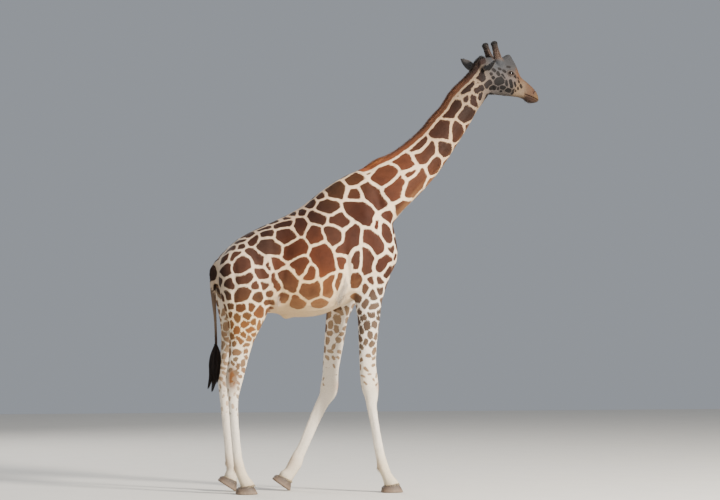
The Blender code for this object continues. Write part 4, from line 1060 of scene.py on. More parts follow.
# Colours of the coat by place: centre on the side view, reach, patch colour, colour between.
coatTones = (
    # the darker tones of the upper and middle neck are partly their own colour and partly painted shade
    ("upper neck", (1.45, 3.82), 0.22, "23130c", "8b7864"),
    ("middle neck", (1.15, 3.42), 0.25, "361f14", "c5a887"),
    ("lower neck", (0.85, 3.05), 0.25, "522e1c", "ecd3b1"),
    ("shoulder", (0.35, 2.60), 0.28, "412012", "ecd5b7"),
    ("arm", (0.40, 2.15), 0.22, "3f2013", "eed9bb"),
    ("breast", (0.66, 2.25), 0.18, "442619", "f0dcbf"),
    ("withers", (0.15, 2.92), 0.20, "442a16", "dfc19c"),
    ("back", (-0.20, 2.62), 0.22, "301a12", "cfb195"),
    ("croup", (-0.65, 2.42), 0.22, "321e16", "c8b199"),
    ("ribs", (-0.05, 2.25), 0.22, "532e1c", "efd3ac"),
    ("flank", (-0.33, 2.20), 0.20, "4d2918", "eccfa8"),
    ("lower ribs", (-0.10, 1.92), 0.20, "704224", "efcc95"),
    ("belly", (-0.25, 1.72), 0.22, "603f29", "d1af80"),
    ("brisket", (0.20, 1.95), 0.15, "603c22", "f2debb"),
    ("haunch", (-0.72, 2.12), 0.20, "4a2d21", "e7d0b7"),
    # the buttock's dark patches are its own colour; its darker ground is partly painted shade
    ("buttock", (-0.97, 2.00), 0.14, "2c1d16", "b9a48e"),
    ("thigh", (-0.72, 1.82), 0.18, "533522", "eed9b9"),
    ("gaskin", (-0.75, 1.58), 0.16, "734b26", "efd9ae"),
    ("hock", (-0.84, 1.15), 0.18, "6d4d30", "efe2cc"),
    ("forearm", (0.42, 1.62), 0.26, "57473b", "f2e8da"),
    # far forearm and far foreknee are darker copies of the near leg's tones: painted shade
    ("far forearm", (0.18, 1.50), 0.22, "4d382c", "eee4d6"),
    ("foreknee", (0.42, 1.02), 0.20, "8a7056", "f0e4cf"),
    ("far foreknee", (0.12, 0.98), 0.18, "785d43", "f0e4cf"),
    ("cannons", (0.00, 0.60), 0.60, "ae987a", "f3ebdd"),
    ("hind cannon", (-0.84, 0.60), 0.40, "b1a28f", "f3ebdd"),
    ("fore pastern", (0.60, 0.20), 0.16, "a78b68", "e6d9bd"),
    ("fore heel", (-0.22, 0.20), 0.16, "a78b68", "dcc8a6"),
    ("hind pastern", (-0.76, 0.20), 0.16, "a78b68", "e0cfb0"),
)
# the head's dark grounds and spots are partly its own grey and partly painted shade; the crown's blue-grey is
# painted skylit shade, and the chin's near-black is partly painted shade
faceTones = (
    ("poll", (0.00, 0.03), 0.075, "181210", "403b38"),
    ("crown", (0.14, 0.05), 0.085, "141111", "383b40"),
    ("forehead", (0.29, 0.07), 0.080, "141111", "343436"),
    ("behind the jaw", (-0.02, -0.16), 0.080, "140d0c", "5c5149"),
    ("cheek", (0.17, -0.16), 0.085, "0c0909", "484342"),
    ("jaw", (0.24, -0.26), 0.060, "0c0a09", "443f3c"),
    ("below the eye", (0.31, -0.14), 0.060, "0e0b0a", "514946"),
    ("nose bridge", (0.43, -0.08), 0.055, "251812", "533b2a"),
    ("side of the nose", (0.43, -0.19), 0.060, "1c140e", "645545"),
    ("nostrils", (0.58, -0.19), 0.060, "34231c", "4d3829"),
    ("lip", (0.66, -0.27), 0.055, "38291c", "56432d"),
    ("chin", (0.57, -0.33), 0.045, "1e1511", "291d17"),
)


def linear(text):
    parts = np.array([int(text[k : k + 2], 16) for k in (0, 2, 4)]) / 255
    return np.where(parts <= 0.04045, parts / 12.92, ((parts + 0.055) / 1.055) ** 2.4)


def blendTones(flat, tones):
    weights = np.zeros(len(flat)) + 1e-9
    patch = np.zeros((len(flat), 3))
    ground = np.zeros((len(flat), 3))
    for _, middle, reach, patchTone, groundTone in tones:
        far = ((flat - middle) ** 2).sum(axis=1) / reach**2
        weight = np.exp(-far) + 1e-7 / (1e-3 + far)  # the nearest tone counts even where all are far
        weights += weight
        patch += weight[:, None] * linear(patchTone)
        ground += weight[:, None] * linear(groundTone)
    return patch / weights[:, None], ground / weights[:, None]


def tint(colours, tone, amount):
    colours += (linear(tone) - colours) * np.clip(amount, 0, 1)[:, None]


# Stains of the pale ground: colour, strength, reach and places.
stains = {
    "knees": ("b4784a", 0.75, 0.05, ((0.520, -0.209, 1.000), (0.205, 0.216, 0.995))),
    "heels": ("b08a62", 0.45, 0.06,
              ((0.52, -0.217, 0.25), (-0.25, 0.229, 0.29), (-0.84, -0.204, 0.26), (-0.87, 0.216, 0.28))),
    "hocks": ("7c5230", 1.50, (0.044, 0.07, 0.100), ((-0.868, -0.235, 1.085), (-0.885, 0.245, 1.10))),
}


# The stripe along the mane: how deep a point lies in it, and where the neck is.
def maneEdge(points):
    onNeck = (points[:, 0] > 0.38) & (points[:, 0] < 1.64) & (points[:, 2] > 2.9)
    crestFar = farFromLine(points[:, (0, 2)], [row[:2] for row in mane["crest"]])
    crestFar += 0.005 * noise(points, 0.03, 22)
    return np.interp(points[:, 0], *zip(*markings["maneStripe"])) - crestFar, onNeck


def bodyTints(points, normals, names, patch, ground):
    trunk = names == "trunk"
    neck = names == "neck"
    under = ramp(-normals[:, 2], 0.25, 0.8) * (trunk | neck) * ramp(points[:, 2], 3.85, 3.50)
    tint(ground, "d9bd94", 0.7 * under)
    tint(patch, "a77a52", 0.55 * under)
    inner = ramp(-normals[:, 1] * np.sign(points[:, 1]), 0.2, 0.8) * onLegs(names)
    tint(ground, "ebe0d0", 0.6 * inner)
    tint(patch, "c4a888", 0.45 * inner)
    crest = ramp(normals[:, 2], 0.75, 0.95) * (neck | trunk)
    tint(ground, "b48a64", 0.35 * crest * ramp(points[:, 0], 0.2, 0.4))
    for tone, strength, reach, places in stains.values():
        for place in places:
            tint(ground, tone, strength * np.exp(-(((points - place) / reach) ** 2).sum(axis=1)))
    dirt = ramp(points[:, 2], 0.24, 0.06) * (0.6 + 0.4 * noise(points, 0.03, 12))
    tint(ground, "a08c72", 0.5 * dirt)


def faceTints(points, place, ground):
    high = points[:, 2] > skull["level"]
    flat = place[:, (0, 2)]
    oval = eyeOval(place)
    tint(ground, "3f3631", 0.65 * ramp(oval, 2.6, 1.5) * high)  # dark skin round the eye
    tint(ground, "1c1411", ramp(oval, 1.45, 1.22) * high)
    # painted shade along the groove of the mouth's line
    mouth = np.exp(-((farFromLine(flat, faceFolds["mouth"][0]) / 0.0055) ** 2))
    tint(ground, "2a1b15", 0.9 * mouth * high)
    # near-black in the nostril's slit is painted shade in its opening; the browner bare skin round it is its
    # own colour
    nostril = farFromLine(flat, faceFolds["nostril"][0])
    tint(ground, "1e1410", 0.95 * np.exp(-((nostril / 0.0075) ** 2)) * high * (abs(place[:, 1]) > 0.015))
    tint(ground, "4c362d", 0.5 * ramp(nostril, 0.030, 0.010) * high)
    # the darker lower lip and chin are partly their own dark skin and partly painted shade
    lipLevel = np.interp(place[:, 0], *zip(*faceFolds["mouth"][0][::-1]))
    lowerLip = ramp(place[:, 2] - lipLevel, 0.0, -0.012) * ramp(place[:, 0], 0.49, 0.54)
    tint(ground, "33241d", 0.80 * lowerLip * high)
    for side, _ in sides:
        foot = ramp(hornFar(points, side), 0.070, 0.050) * ramp(place[:, 2], 0.035, 0.085)
        tint(ground, horns["low"], 0.85 * foot)
    return high & (oval < 2.0)


# Colours at each point, of the patches and between them, and the depth inside a patch.
def coatColours(points, normals, names, along, patches):
    depth, owner = patchField(points, patches)
    place = toHead(points)
    onHead = headShare(points, -0.10, 0.03)[:, None]
    patch, ground = blendTones(points[:, (0, 2)], coatTones)
    facePatch, faceGround = blendTones(place[:, (0, 2)], faceTones)
    patch += (facePatch - patch) * onHead
    ground += (faceGround - ground) * onHead

    elbow = farFromLine(points[:, (0, 2)], markings["elbow"]) - markings["elbowReach"]
    elbow += 0.012 * noise(points, 0.03, 21)
    depth = np.where(points[:, 2] < 2.3, np.minimum(depth, elbow), depth)
    edge, onNeck = maneEdge(points)
    depth = np.where(onNeck, np.maximum(edge, np.minimum(depth, -edge - markings["maneLine"])), depth)

    lots = np.random.default_rng(5).normal(0, 1, (len(patches), 2))  # each patch has a tone of its own
    patch *= 1 + 0.10 * lots[owner, :1]
    patch *= 1 + np.array((0.04, -0.02, -0.06)) * lots[owner, 1:]
    inside = ramp(depth, 0.012, 0.045)
    patch *= (1 + 0.16 * inside * noise(points, 0.045, 7))[:, None]
    patch *= (1.06 - 0.14 * inside)[:, None]
    mottle = (noise(points, 0.06, 9) + 0.6 * noise(points, 0.02, 10))[:, None]
    patch *= 1 + 0.06 * mottle
    ground *= 1 + 0.035 * mottle
    patch += (toneAlong(points[:, 0], mane["tones"]) - patch) * (onNeck * ramp(edge, -0.012, 0.0))[:, None]

    bodyTints(points, normals, names, patch, ground)
    byEye = faceTints(points, place, ground)
    ear = np.char.startswith(names, "ear")
    innerEar = ear & (toHead(points + normals)[:, 0] - place[:, 0] > 0.25)
    # the ears' dark grey is partly their own colour and partly painted shade
    tint(ground, "403e3e", 1.0 * ear)
    tint(ground, "776d66", 0.75 * innerEar)
    tint(ground, "241f1d", ear * ramp(along, 0.82, 1.0))
    tail = names == "tail"
    tint(ground, "5a463a", 0.9 * tail * ramp(points[:, 2], 2.20, 1.95))
    tint(ground, "3a2c26", tail * ramp(points[:, 2], 1.62, 1.42))
    tint(patch, "4e382e", tail * 0.8)
    depth = np.where(byEye, np.minimum(depth, -0.01), depth)
    depth = np.where(ear, -0.02, depth)
    return depth, np.clip(patch, 0, 1), np.clip(ground, 0, 1)


# One output socket of a material's nodes, with the sums that can be done on it.
class Wire:
    def __init__(self, finish, socket):
        self.finish = finish
        self.socket = socket

    def sum(self, operation, first, second):
        return self.finish.node("ShaderNodeMath", {"operation": operation}, {0: first, 1: second})

    def __add__(self, other):
        return self.sum("ADD", self, other)

    def __radd__(self, other):
        return self.sum("ADD", other, self)

    def __sub__(self, other):
        return self.sum("SUBTRACT", self, other)

    def __rsub__(self, other):
        return self.sum("SUBTRACT", other, self)

    def __mul__(self, other):
        return self.sum("MULTIPLY", self, other)

    def __rmul__(self, other):
        return self.sum("MULTIPLY", other, self)


class Finish:
    def __init__(self, name, **constants):
        self.material = bpy.data.materials.new(name)
        self.material.use_nodes = True
        self.tree = self.material.node_tree
        self.shader = self.tree.nodes["Principled BSDF"]
        for socket, value in constants.items():
            self.shader.inputs[socket.replace("_", " ")].default_value = value

    def feed(self, socket, value):
        if isinstance(value, Wire):
            self.tree.links.new(value.socket, socket)
        else:
            isColour = np.ndim(value) and len(socket.default_value) == 4
            socket.default_value = (*value, 1.0) if isColour else value

    def node(self, kind, settings, values, out=0):
        made = self.tree.nodes.new(kind)
        for name, value in settings.items():
            if name == "stops":
                for stop, (at, colour) in zip(made.color_ramp.elements, value):
                    stop.position = at
                    stop.color = (*colour, 1.0)
            else:
                setattr(made, name, value)
        for name, value in values.items():
            self.feed(made.inputs[name], value)
        return Wire(self, made.outputs[out])

    def attribute(self, name, out):
        return self.node("ShaderNodeAttribute", {"attribute_name": name}, {}, out)

    def place(self):
        return self.node("ShaderNodeTexCoord", {}, {}, "Object")

    def noise(self, at, scale, detail=2.0, rough=0.5):
        return self.node(
            "ShaderNodeTexNoise", {}, {"Vector": at, "Scale": scale, "Detail": detail, "Roughness": rough}
        )

    def stretch(self, at, scale):
        return self.node("ShaderNodeMapping", {}, {"Vector": at, "Scale": scale})

    def step(self, value, low, high):
        return self.node(
            "ShaderNodeMapRange", {"interpolation_type": "SMOOTHSTEP"},
            {"Value": value, "From Min": low, "From Max": high},
        )

    def mix(self, share, first, second, blend="MIX"):
        settings = {"data_type": "RGBA", "blend_type": blend}
        return self.node("ShaderNodeMix", settings, {0: share, 6: first, 7: second}, 2)

    def darker(self, colour, by):
        return self.mix(1.0, colour, by, "MULTIPLY")

    def bump(self, height, strength, distance):
        values = {"Height": height, "Strength": strength, "Distance": distance}
        return self.node("ShaderNodeBump", {}, values)

    def wear(self, **links):
        for socket, value in links.items():
            self.feed(self.shader.inputs[socket.replace("_", " ")], value)
        return self.material


def makeCoatFinish(name, onSkin):
    finish = Finish(name, Sheen_Weight=0.03, Sheen_Roughness=0.4, Specular_IOR_Level=0.16)
    at = finish.place()
    ragged = finish.noise(at, 190.0, 3.0)
    depth = finish.attribute("depth", "Fac") + (ragged - 0.5) * (0.010 if onSkin else 0.004)
    mask = finish.step(depth, -0.0018, 0.0018)
    colour = finish.mix(mask, finish.attribute("between", "Color"), finish.attribute("patch", "Color"))
    shade = finish.noise(at, 420.0, 2.0) * 0.35 + finish.noise(at, 70.0, 2.0) * 0.2
    colour = finish.mix(finish.step(shade, 0.16, 0.42), finish.darker(colour, (0.84, 0.80, 0.77)), colour)
    links = {"Base_Color": colour, "Roughness": 0.58 + ragged * 0.22}
    if onSkin:
        hair = finish.noise(finish.stretch(at, (260.0, 260.0, 90.0)), 1.0, 4.0)
        links["Normal"] = finish.bump(hair + ragged * 0.5, 0.35, 0.004)
    return finish.wear(**links)


def makeHairFinish(name, roughness=0.5):
    finish = Finish(name, Sheen_Weight=0.03, Specular_IOR_Level=0.25)
    at = finish.place()
    strands = finish.noise(finish.stretch(at, (300.0, 300.0, 25.0)), 1.0, 3.0)
    tone = finish.attribute("tone", "Color")
    colour = finish.mix(strands, finish.darker(tone, (0.62, 0.56, 0.52)), tone)
    rough = strands * 0.2 + roughness
    return finish.wear(Base_Color=colour, Roughness=rough, Normal=finish.bump(strands, 0.3, 0.002))


# A piece of the animal from arrays: triangles, values at its points, and the bake's map by corner.
def makePiece(name, points, triangles, material, nodes, values, spread=None):
    mesh = bpy.data.meshes.new(name)
    mesh.vertices.add(len(points))
    mesh.vertices.foreach_set("co", (np.asarray(points) + shift).astype(np.float32).ravel())
    mesh.loops.add(triangles.size)
    mesh.loops.foreach_set("vertex_index", triangles.ravel().astype(np.int32))
    mesh.polygons.add(len(triangles))
    mesh.polygons.foreach_set("loop_start", np.arange(0, triangles.size, 3, dtype=np.int32))
    mesh.polygons.foreach_set("use_smooth", np.full(len(triangles), True))
    mesh.update(calc_edges=True)
    for key, value in values.items():
        if value.ndim == 1:
            mesh.attributes.new(key, "FLOAT", "POINT").data.foreach_set("value", value.astype(np.float32))
        else:
            rgba = np.concatenate((value, np.ones((len(value), 1))), axis=1).astype(np.float32)
            mesh.attributes.new(key, "FLOAT_COLOR", "POINT").data.foreach_set("color", rgba.ravel())
    if spread is not None:
        mesh.uv_layers.new(name="OFBake").uv.foreach_set("vector", spread.astype(np.float32).ravel())
    mesh.materials.append(material)
    piece = makeObject(name, mesh)
    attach(piece, "root")
    if nodes:
        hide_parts(*nodes)
    print(name, len(triangles), "triangles")
    return piece


# A piece of tapered three-sided locks along lines of points from root to tip. Each has a patch at its
# place on the bake's map, and one tone or a tone for each of its points.
def makeLocks(name, lines, widths, facing, thick, spreadAt, tones, material, nodes=(), onHead=False):
    count, steps = lines.shape[:2]
    way = unit(np.gradient(lines, axis=1))[:, :-1]
    side = unit(np.cross(way, facing[:, None]))
    up = np.cross(side, way)
    broad = widths[..., None]
    body = lines[:, :-1]
    corners = np.stack((body - side * broad, body + up * broad * thick, body + side * broad), axis=2)
    points = np.concatenate((corners.reshape(count, -1, 3), lines[:, -1:]), axis=1)
    rings = steps - 1
    faces = [(2, 1, 0)]
    for low in range(0, 3 * (rings - 1), 3):
        for k in range(3):
            n = (k + 1) % 3
            faces += [(low + k, low + n, low + 3 + n), (low + k, low + 3 + n, low + 3 + k)]
    top = 3 * (rings - 1)
    faces += [(top + k, top + (k + 1) % 3, 3 * rings) for k in range(3)]
    faces = np.array(faces)
    each = 3 * rings + 1
    triangles = (faces[None] + np.arange(count)[:, None, None] * each).reshape(-1, 3)
    u = np.tile([-1.0, 0.0, 1.0], rings).tolist() + [0.0]
    v = np.repeat(np.linspace(-1, 0.8, rings), 3).tolist() + [1.0]
    local = np.stack((u, v), axis=1) * coat["patch"]
    spread = (spreadAt[:, None, None] + local[faces][None]).reshape(-1, 2)
    points = points.reshape(-1, 3)
    if onHead:
        points = fromHead(points)
    if tones.ndim == 2:
        tones = np.repeat(tones, each, axis=0)
    values = {"tone": np.clip(tones.reshape(-1, 3), 0, 1)}
    makePiece(name, points, triangles, material, nodes, values, spread)


# Places on the bake's map for locks that have none of their own.
def anywhere(count):
    return np.stack((chance.uniform(0.01, 0.99, count), chance.uniform(0.01, 0.99, count)), axis=1)


def howMany(count, least=0.3):
    return int(count * max(hairShare, least))


# The tones, some lighter and some darker by about the share given.
def uneven(tones, share, count):
    return np.clip(tones * (1 + share * chance.normal(0, 1, (count, 1))), 0, 1)


coat = {
    "tufts": 235000,
    "length": 0.0145,
    "width": 0.0027,
    "stray": 0.15,  # how far the tufts lie off their neighbours' way
    "round": 0.40,  # how far the shading bends over a tuft
    "patch": 0.0015,  # half of a tuft's patch on the bake's map
}


# How large the tufts are at a place, against those on the flank.
def tuftSize(points):
    size = 1 - 0.38 * ramp(points[:, 2], 1.75, 1.15) - 0.12 * ramp(points[:, 2], 0.5, 0.2)
    size = size * (1 - 0.48 * headShare(points, -0.08, 0.10))
    return size * (1 - 0.30 * headShare(points, 0.38, 0.55))


# Where no hair grows: the eyes' rims, the nostrils, the mouth's line and under the hooves' edges.
def isBare(points):
    place = toHead(points)
    flat = place[:, (0, 2)]
    bare = eyeOval(place) < 1.24
    bare |= (farFromLine(flat, faceFolds["nostril"][0]) < 0.009) & (abs(place[:, 1]) > 0.01)
    bare |= farFromLine(flat, faceFolds["mouth"][0]) < 0.005
    bare &= points[:, 2] > skull["level"]
    for name, (side, sole, _, _) in feet.items():
        front, up = coronetPlane(name)
        near = (abs(points[:, 0] - sole[0]) < 0.2) & (points[:, 1] * side > 0.05) & (points[:, 2] < 0.3)
        bare |= near & ((points - np.array(front)) @ np.array(up) < 0.004)
    return bare


def growCoat(skinMesh, values, names, along, turn, flow, material):
    corners = trianglesOf(skinMesh)
    points = pointsOf(skinMesh)
    a, b, c = (points[corners[:, k]] for k in range(3))
    middle = (a + b + c) / 3
    area = np.linalg.norm(np.cross(b - a, c - a), axis=1) / 2
    weight = area * (~isBare(middle)) / tuftSize(middle) ** 1.5
    count = howMany(coat["tufts"], 0)
    chosen = np.sort(chance.choice(len(corners), count, p=weight / weight.sum()))
    share = chance.random((count, 2))
    share = np.where(share.sum(axis=1, keepdims=True) > 1, 1 - share, share)
    share = np.concatenate((1 - share.sum(axis=1, keepdims=True), share), axis=1)
    near = corners[chosen]

    def across(field):
        shares = share[..., None] if field.ndim > 1 else share
        return sum(field[near[:, k]] * shares[:, k] for k in range(3))

    root, normal = across(points), unit(across(normalsOf(skinMesh)))
    way = across(flow)
    way = unit(way - normal * (way * normal).sum(axis=1, keepdims=True))
    side = np.cross(normal, way)
    way = unit(way + side * chance.normal(0, coat["stray"], (count, 1)))
    side = np.cross(normal, way)
    size = tuftSize(root)[:, None] * chance.uniform(0.7, 1.25, (count, 1))
    long, broad = size * coat["length"], size * coat["width"] * chance.uniform(0.8, 1.3, (count, 1))
    lift = coatDepth(root)[:, None] * chance.uniform(0.15, 0.62, (count, 1))
    waist = root + way * long * 0.42 - normal * 0.0002
    tip = root + way * long + normal * (lift * 0.8 + 0.0003)
    bend = coat["round"]
    facing = unit(np.stack((normal, normal + side * bend, normal - side * bend, normal + way * bend), axis=1))
    body = np.stack((root - normal * 0.0003, waist + side * broad / 2, waist - side * broad / 2, tip), axis=1)
    faces = np.array(((0, 3, 1), (0, 2, 3), (0, 1, 2), (1, 3, 2)))
    local = np.array(((0, -1), (1, 0), (-1, 0), (0, 1))) * coat["patch"]

    depth = across(values["depth"]) + chance.normal(0, 0.0012, count)
    tone = 1 + 0.09 * chance.normal(0, 1, (count, 1))
    colours = {key: np.clip(across(values[key]) * tone, 0, 1) for key in ("patch", "between")}
    names = names[near[:, 0]]
    names = np.where(names == "trunk", np.where(root[:, 1] < 0, "trunk_right", "trunk_left"), names)
    spread = np.stack((along[near[:, 0]], turn[near[:, 0]] / (2 * np.pi) + 0.5), axis=1) * 0.98 + 0.01
    for name in sorted(set(names)):
        own = np.flatnonzero(names == name)
        triangles = (faces[None] + 4 * np.arange(len(own))[:, None, None]).reshape(-1, 3)
        uv = (spread[own][:, None, None] + local[faces][None]).reshape(-1, 2)
        held = {key: np.repeat(colour[own], 4, axis=0) for key, colour in colours.items()}
        held["depth"] = np.repeat(depth[own], 4)
        piece = makePiece(f"coat_{name}", body[own].reshape(-1, 3), triangles, material, (), held, uv)
        piece.data.normals_split_custom_set_from_vertices(facing[own].reshape(-1, 3))


mane = {
    # crest from the withers to between the horns: x, z of the hair's tips, and how deep it stands
    "crest": ((0.400, 3.080, 0.030), (0.452, 3.122, 0.048), (0.534, 3.178, 0.066), (0.678, 3.240, 0.058),
              (0.812, 3.332, 0.060), (0.968, 3.466, 0.062), (1.071, 3.588, 0.066), (1.176, 3.704, 0.070),
              (1.255, 3.826, 0.076), (1.331, 3.910, 0.074), (1.416, 3.990, 0.070), (1.478, 4.062, 0.070),
              (1.532, 4.156, 0.076), (1.600, 4.208, 0.076), (1.655, 4.202, 0.055)),
    "locks": 7900,
    "halfWidth": 0.025,
    "root": 0.022,
    "lean": -0.34,  # towards the withers
    "tones": ((0.40, "7e4326"), (0.60, "824a2d"), (0.80, "6b3e27"), (1.05, "623d28"), (1.25, "603f2b"),
              (1.42, "543626"), (1.52, "382721"), (1.66, "261d1b")),
    "tips": ((0.40, "a16032"), (0.60, "a56639"), (0.80, "85522f"), (1.10, "794d34"), (1.35, "75492f"),
             (1.50, "32241d"), (1.66, "1a1413")),
}


def toneAlong(x, tones):
    places = [place for place, _ in tones]
    colours = np.array([linear(text) for _, text in tones])
    return np.stack([np.interp(x, places, colours[:, k]) for k in range(3)], axis=1)


def crestAcross(x):
    bends = [(rib[0] * 0.75 + rib[2] * 0.25, rib[4]) for rib in neckRibs]
    return np.interp(x, *zip(*bends))


def makeMane():
    rows = splineRows(mane["crest"], 12)
    reach = np.concatenate(([0], np.cumsum(np.linalg.norm(np.diff(rows[:, :2], axis=0), axis=1))))
    count = howMany(mane["locks"])
    at = np.sort(chance.random(count)) * reach[-1]
    x, z, depth = (np.interp(at, reach, rows[:, k]) for k in range(3))
    back = unit(np.stack([np.interp(at, reach, np.gradient(rows[:, k], reach)) for k in (0, 1)], axis=1))
    along = np.stack((back[:, 0], 0 * at, back[:, 1]), axis=1)
    up = np.stack((-back[:, 1], 0 * at, back[:, 0]), axis=1)
    over = chance.uniform(-1, 1, count)
    start = ramp(at, 0, 0.10)[:, None]
    wide = mane["halfWidth"] * (0.75 + 0.25 * start)
    across = np.array((0.0, 1.0, 0.0))
    crest = np.stack((x, crestAcross(x), z), axis=1)
    ragged = np.where(x < 0.95, 0.020, 0.007) * chance.random(count) ** 1.5
    tipDown = (ragged + 0.020 * over**2)[:, None]
    root = crest - up * (depth[:, None] + mane["root"] - 0.006 * over[:, None] ** 2)
    root = root + across * wide * over[:, None]
    wild = 0.25 + (x < 0.95)[:, None]  # the hair is more ragged near the withers
    lean = mane["lean"] * (depth[:, None]) * (1 + 0.5 * chance.normal(0, 1, (count, 1)) * wild)
    tip = crest - up * tipDown + along * lean
    tip = tip + across * (over * 0.008 + chance.normal(0, 0.003, count))[:, None]
    root -= along * lean * 0.3
    t = np.linspace(0, 1, 5)[None, :, None]
    bow = across * (over * 0.010)[:, None] + along * lean * -0.25
    lines = root[:, None] * (1 - t) + tip[:, None] * t + (4 * t * (1 - t)) * bow[:, None] * 0.5
    lines[:, 1:] += chance.normal(0, 0.0010, (count, 4, 3))
    widths = chance.uniform(0.0016, 0.0030, (count, 1)) * np.array((1.0, 1.0, 0.85, 0.55))
    facing = np.where(chance.random((count, 1)) < 0.5, 1, -1) * across
    facing = facing + along * chance.normal(0, 0.6, (count, 1))
    uv = np.stack((0.01 + 0.98 * at / reach[-1], 0.5 + 0.45 * over), axis=1)
    share = np.concatenate((np.repeat(np.linspace(0, 0.85, 4), 3), (1.0,)))
    low, high = toneAlong(x, mane["tones"]), toneAlong(x, mane["tips"])
    tone = low[:, None] + (high - low)[:, None] * share[None, :, None] ** 1.5
    tone = tone * (1 + 0.16 * chance.normal(0, 1, (count, 1, 1)))
    makeLocks("mane_hair", lines, widths, unit(facing), 0.6, uv, tone, makeHairFinish("mane hair"),
              ["mane"])


tailTuft = {
    # locks that the tuft hangs in: x, y, z and half a width along each
    "locks": (
        ((-0.995, 0.000, 1.400, 0.010), (-1.020, 0.004, 1.290, 0.024),
         (-1.032, 0.008, 1.170, 0.023), (-1.026, 0.000, 1.020, 0.006)),
        ((-0.995, 0.000, 1.395, 0.010), (-0.972, -0.006, 1.300, 0.019),
         (-0.975, -0.012, 1.180, 0.019), (-0.982, -0.010, 1.030, 0.006)),
        ((-0.998, 0.000, 1.400, 0.010), (-1.000, 0.026, 1.260, 0.020),
         (-1.005, 0.036, 1.150, 0.018), (-1.012, 0.030, 1.040, 0.006)),
        ((-0.998, 0.000, 1.395, 0.010), (-1.000, -0.028, 1.260, 0.020),
         (-1.008, -0.036, 1.140, 0.018), (-1.000, -0.030, 1.020, 0.006)),
        ((-1.005, 0.000, 1.330, 0.014), (-1.030, 0.000, 1.200, 0.022),
         (-1.040, -0.004, 1.090, 0.017), (-1.070, -0.010, 0.975, 0.006)),
        ((-0.995, 0.000, 1.330, 0.016), (-1.000, 0.000, 1.180, 0.026),
         (-1.006, 0.004, 1.070, 0.020), (-1.030, 0.010, 0.945, 0.006)),
    ),
    "full": 1.25,  # the locks are this much wider than their rows say
    "steps": 11,
    "hairs": 210,  # in each lock
    "tone": "1d1614",
    "pale": "3a2a22",
}


def makeTailTuft():
    lines, widths, tones = [], [], []
    count = howMany(tailTuft["hairs"], 0.4)
    steps = tailTuft["steps"]
    for lock in tailTuft["locks"]:
        rows = splineRows(lock, 8)
        rows[:, 3] *= tailTuft["full"]
        share = np.linspace(0, 1, len(rows))
        start = chance.uniform(0, 0.30, count) * (chance.random(count) < 0.7)
        end = 1 - chance.random(count) ** 2 * 0.30
        angle = chance.uniform(0, 2 * np.pi, count)
        off = np.sqrt(chance.random(count))
        t = start[:, None] + (end - start)[:, None] * np.linspace(0, 1, steps)[None]
        spot = np.stack([np.interp(t, share, rows[:, k]) for k in range(4)], axis=-1)
        swirl = angle[:, None] + chance.normal(0, 0.5, (count, 1)) * t
        away = np.stack((np.cos(swirl), np.sin(swirl), 0 * swirl), axis=-1)
        lines.append(spot[..., :3] + away * (off[:, None] * spot[..., 3])[..., None])
        widths.append(chance.uniform(0.0013, 0.0022, (count, 1)) * np.linspace(1, 0.35, steps - 1)[None])
        shade = chance.random((count, 1)) ** 2
        tones.append(linear(tailTuft["tone"]) * (1 - shade) + linear(tailTuft["pale"]) * shade)
    lines, widths, tones = (np.concatenate(rows) for rows in (lines, widths, tones))
    facing = unit(chance.normal(0, 1, (len(lines), 3)) * (1, 1, 0.1))
    makeLocks("tail_hair", lines, widths, facing, 0.8, anywhere(len(lines)), tones,
              makeHairFinish("tail hair", 0.38), ["tail_tuft"])


horns = {
    "foot": np.array((0.180, 0.064, 0.045)),
    "top": np.array((0.115, 0.080, 0.226)),
    # radii of the horn with its hair, at shares of the way from the foot to the top
    "radii": ((-0.04, 0.038), (0.10, 0.041), (0.25, 0.0395), (0.50, 0.033), (0.75, 0.031),
              (0.90, 0.035), (1.00, 0.031), (1.06, 0.020), (1.075, 0.006)),
    "hair": 0.003,  # how deep it stands
    "tufts": 3000,
    "topHairs": 240,
    "low": "56453c",
    "high": "2d2521",
    "black": "110d0b",
    # the tones at shares of the way up
    "skinTones": ((0.0, "low"), (0.55, "low"), (0.85, "high"), (0.97, "black")),
    "hairTones": ((0.0, "low"), (0.5, "low"), (0.8, "high"), (0.95, "black")),
}


def hornTones(share, kind):
    return toneAlong(share, [(at, horns[tone]) for at, tone in horns[kind]])


def growHornHair(word, foot, top, material):
    whole = top - foot
    way = unit(whole)
    across = unit(np.cross(way, (0, 1, 0)))
    other = np.cross(way, across)

    def outward(count):
        angle = chance.uniform(0, 2 * np.pi, count)
        return np.cos(angle)[:, None] * across + np.sin(angle)[:, None] * other

    count = howMany(horns["tufts"])
    at = chance.uniform(-0.04, 0.97, count)
    out = outward(count)
    radius = np.interp(at, *zip(*horns["radii"]))[:, None] - horns["hair"]
    root = foot + whole * at[:, None] + out * (radius - 0.001)
    long = chance.uniform(0.009, 0.015, (count, 1))
    tip = root + way * long + out * chance.uniform(0.001, 0.0035, (count, 1))
    tip += np.cross(out, way) * chance.normal(0, 0.002, (count, 1))
    lines = np.stack((root, (root + tip) / 2 + out * 0.0006, tip), axis=1)
    widths = chance.uniform(0.0008, 0.0014, (count, 1))
    tones = hornTones(at, "hairTones")

    crown = howMany(horns["topHairs"])
    topOut = outward(crown)
    off = np.sqrt(chance.random((crown, 1)))
    root = foot + whole * (1.02 - 0.14 * off**2) + topOut * off * 0.027
    tip = root + way * chance.uniform(0.006, 0.012, (crown, 1))
    tip = tip + topOut * chance.uniform(0.001, 0.005, (crown, 1)) * off
    lines = np.concatenate((lines, np.stack((root, (root + tip) / 2, tip), axis=1)))
    widths = np.concatenate((widths, chance.uniform(0.0010, 0.0016, (crown, 1))))
    facing = np.concatenate((out, topOut))
    black = np.repeat(linear(horns["black"])[None], crown, axis=0)
    tones = uneven(np.concatenate((tones, black)), 0.2, len(lines))
    makeLocks(f"horn_hair_{word}", lines, np.repeat(widths, 2, axis=1), facing, 0.5, anywhere(len(lines)),
              tones, material, onHead=True)


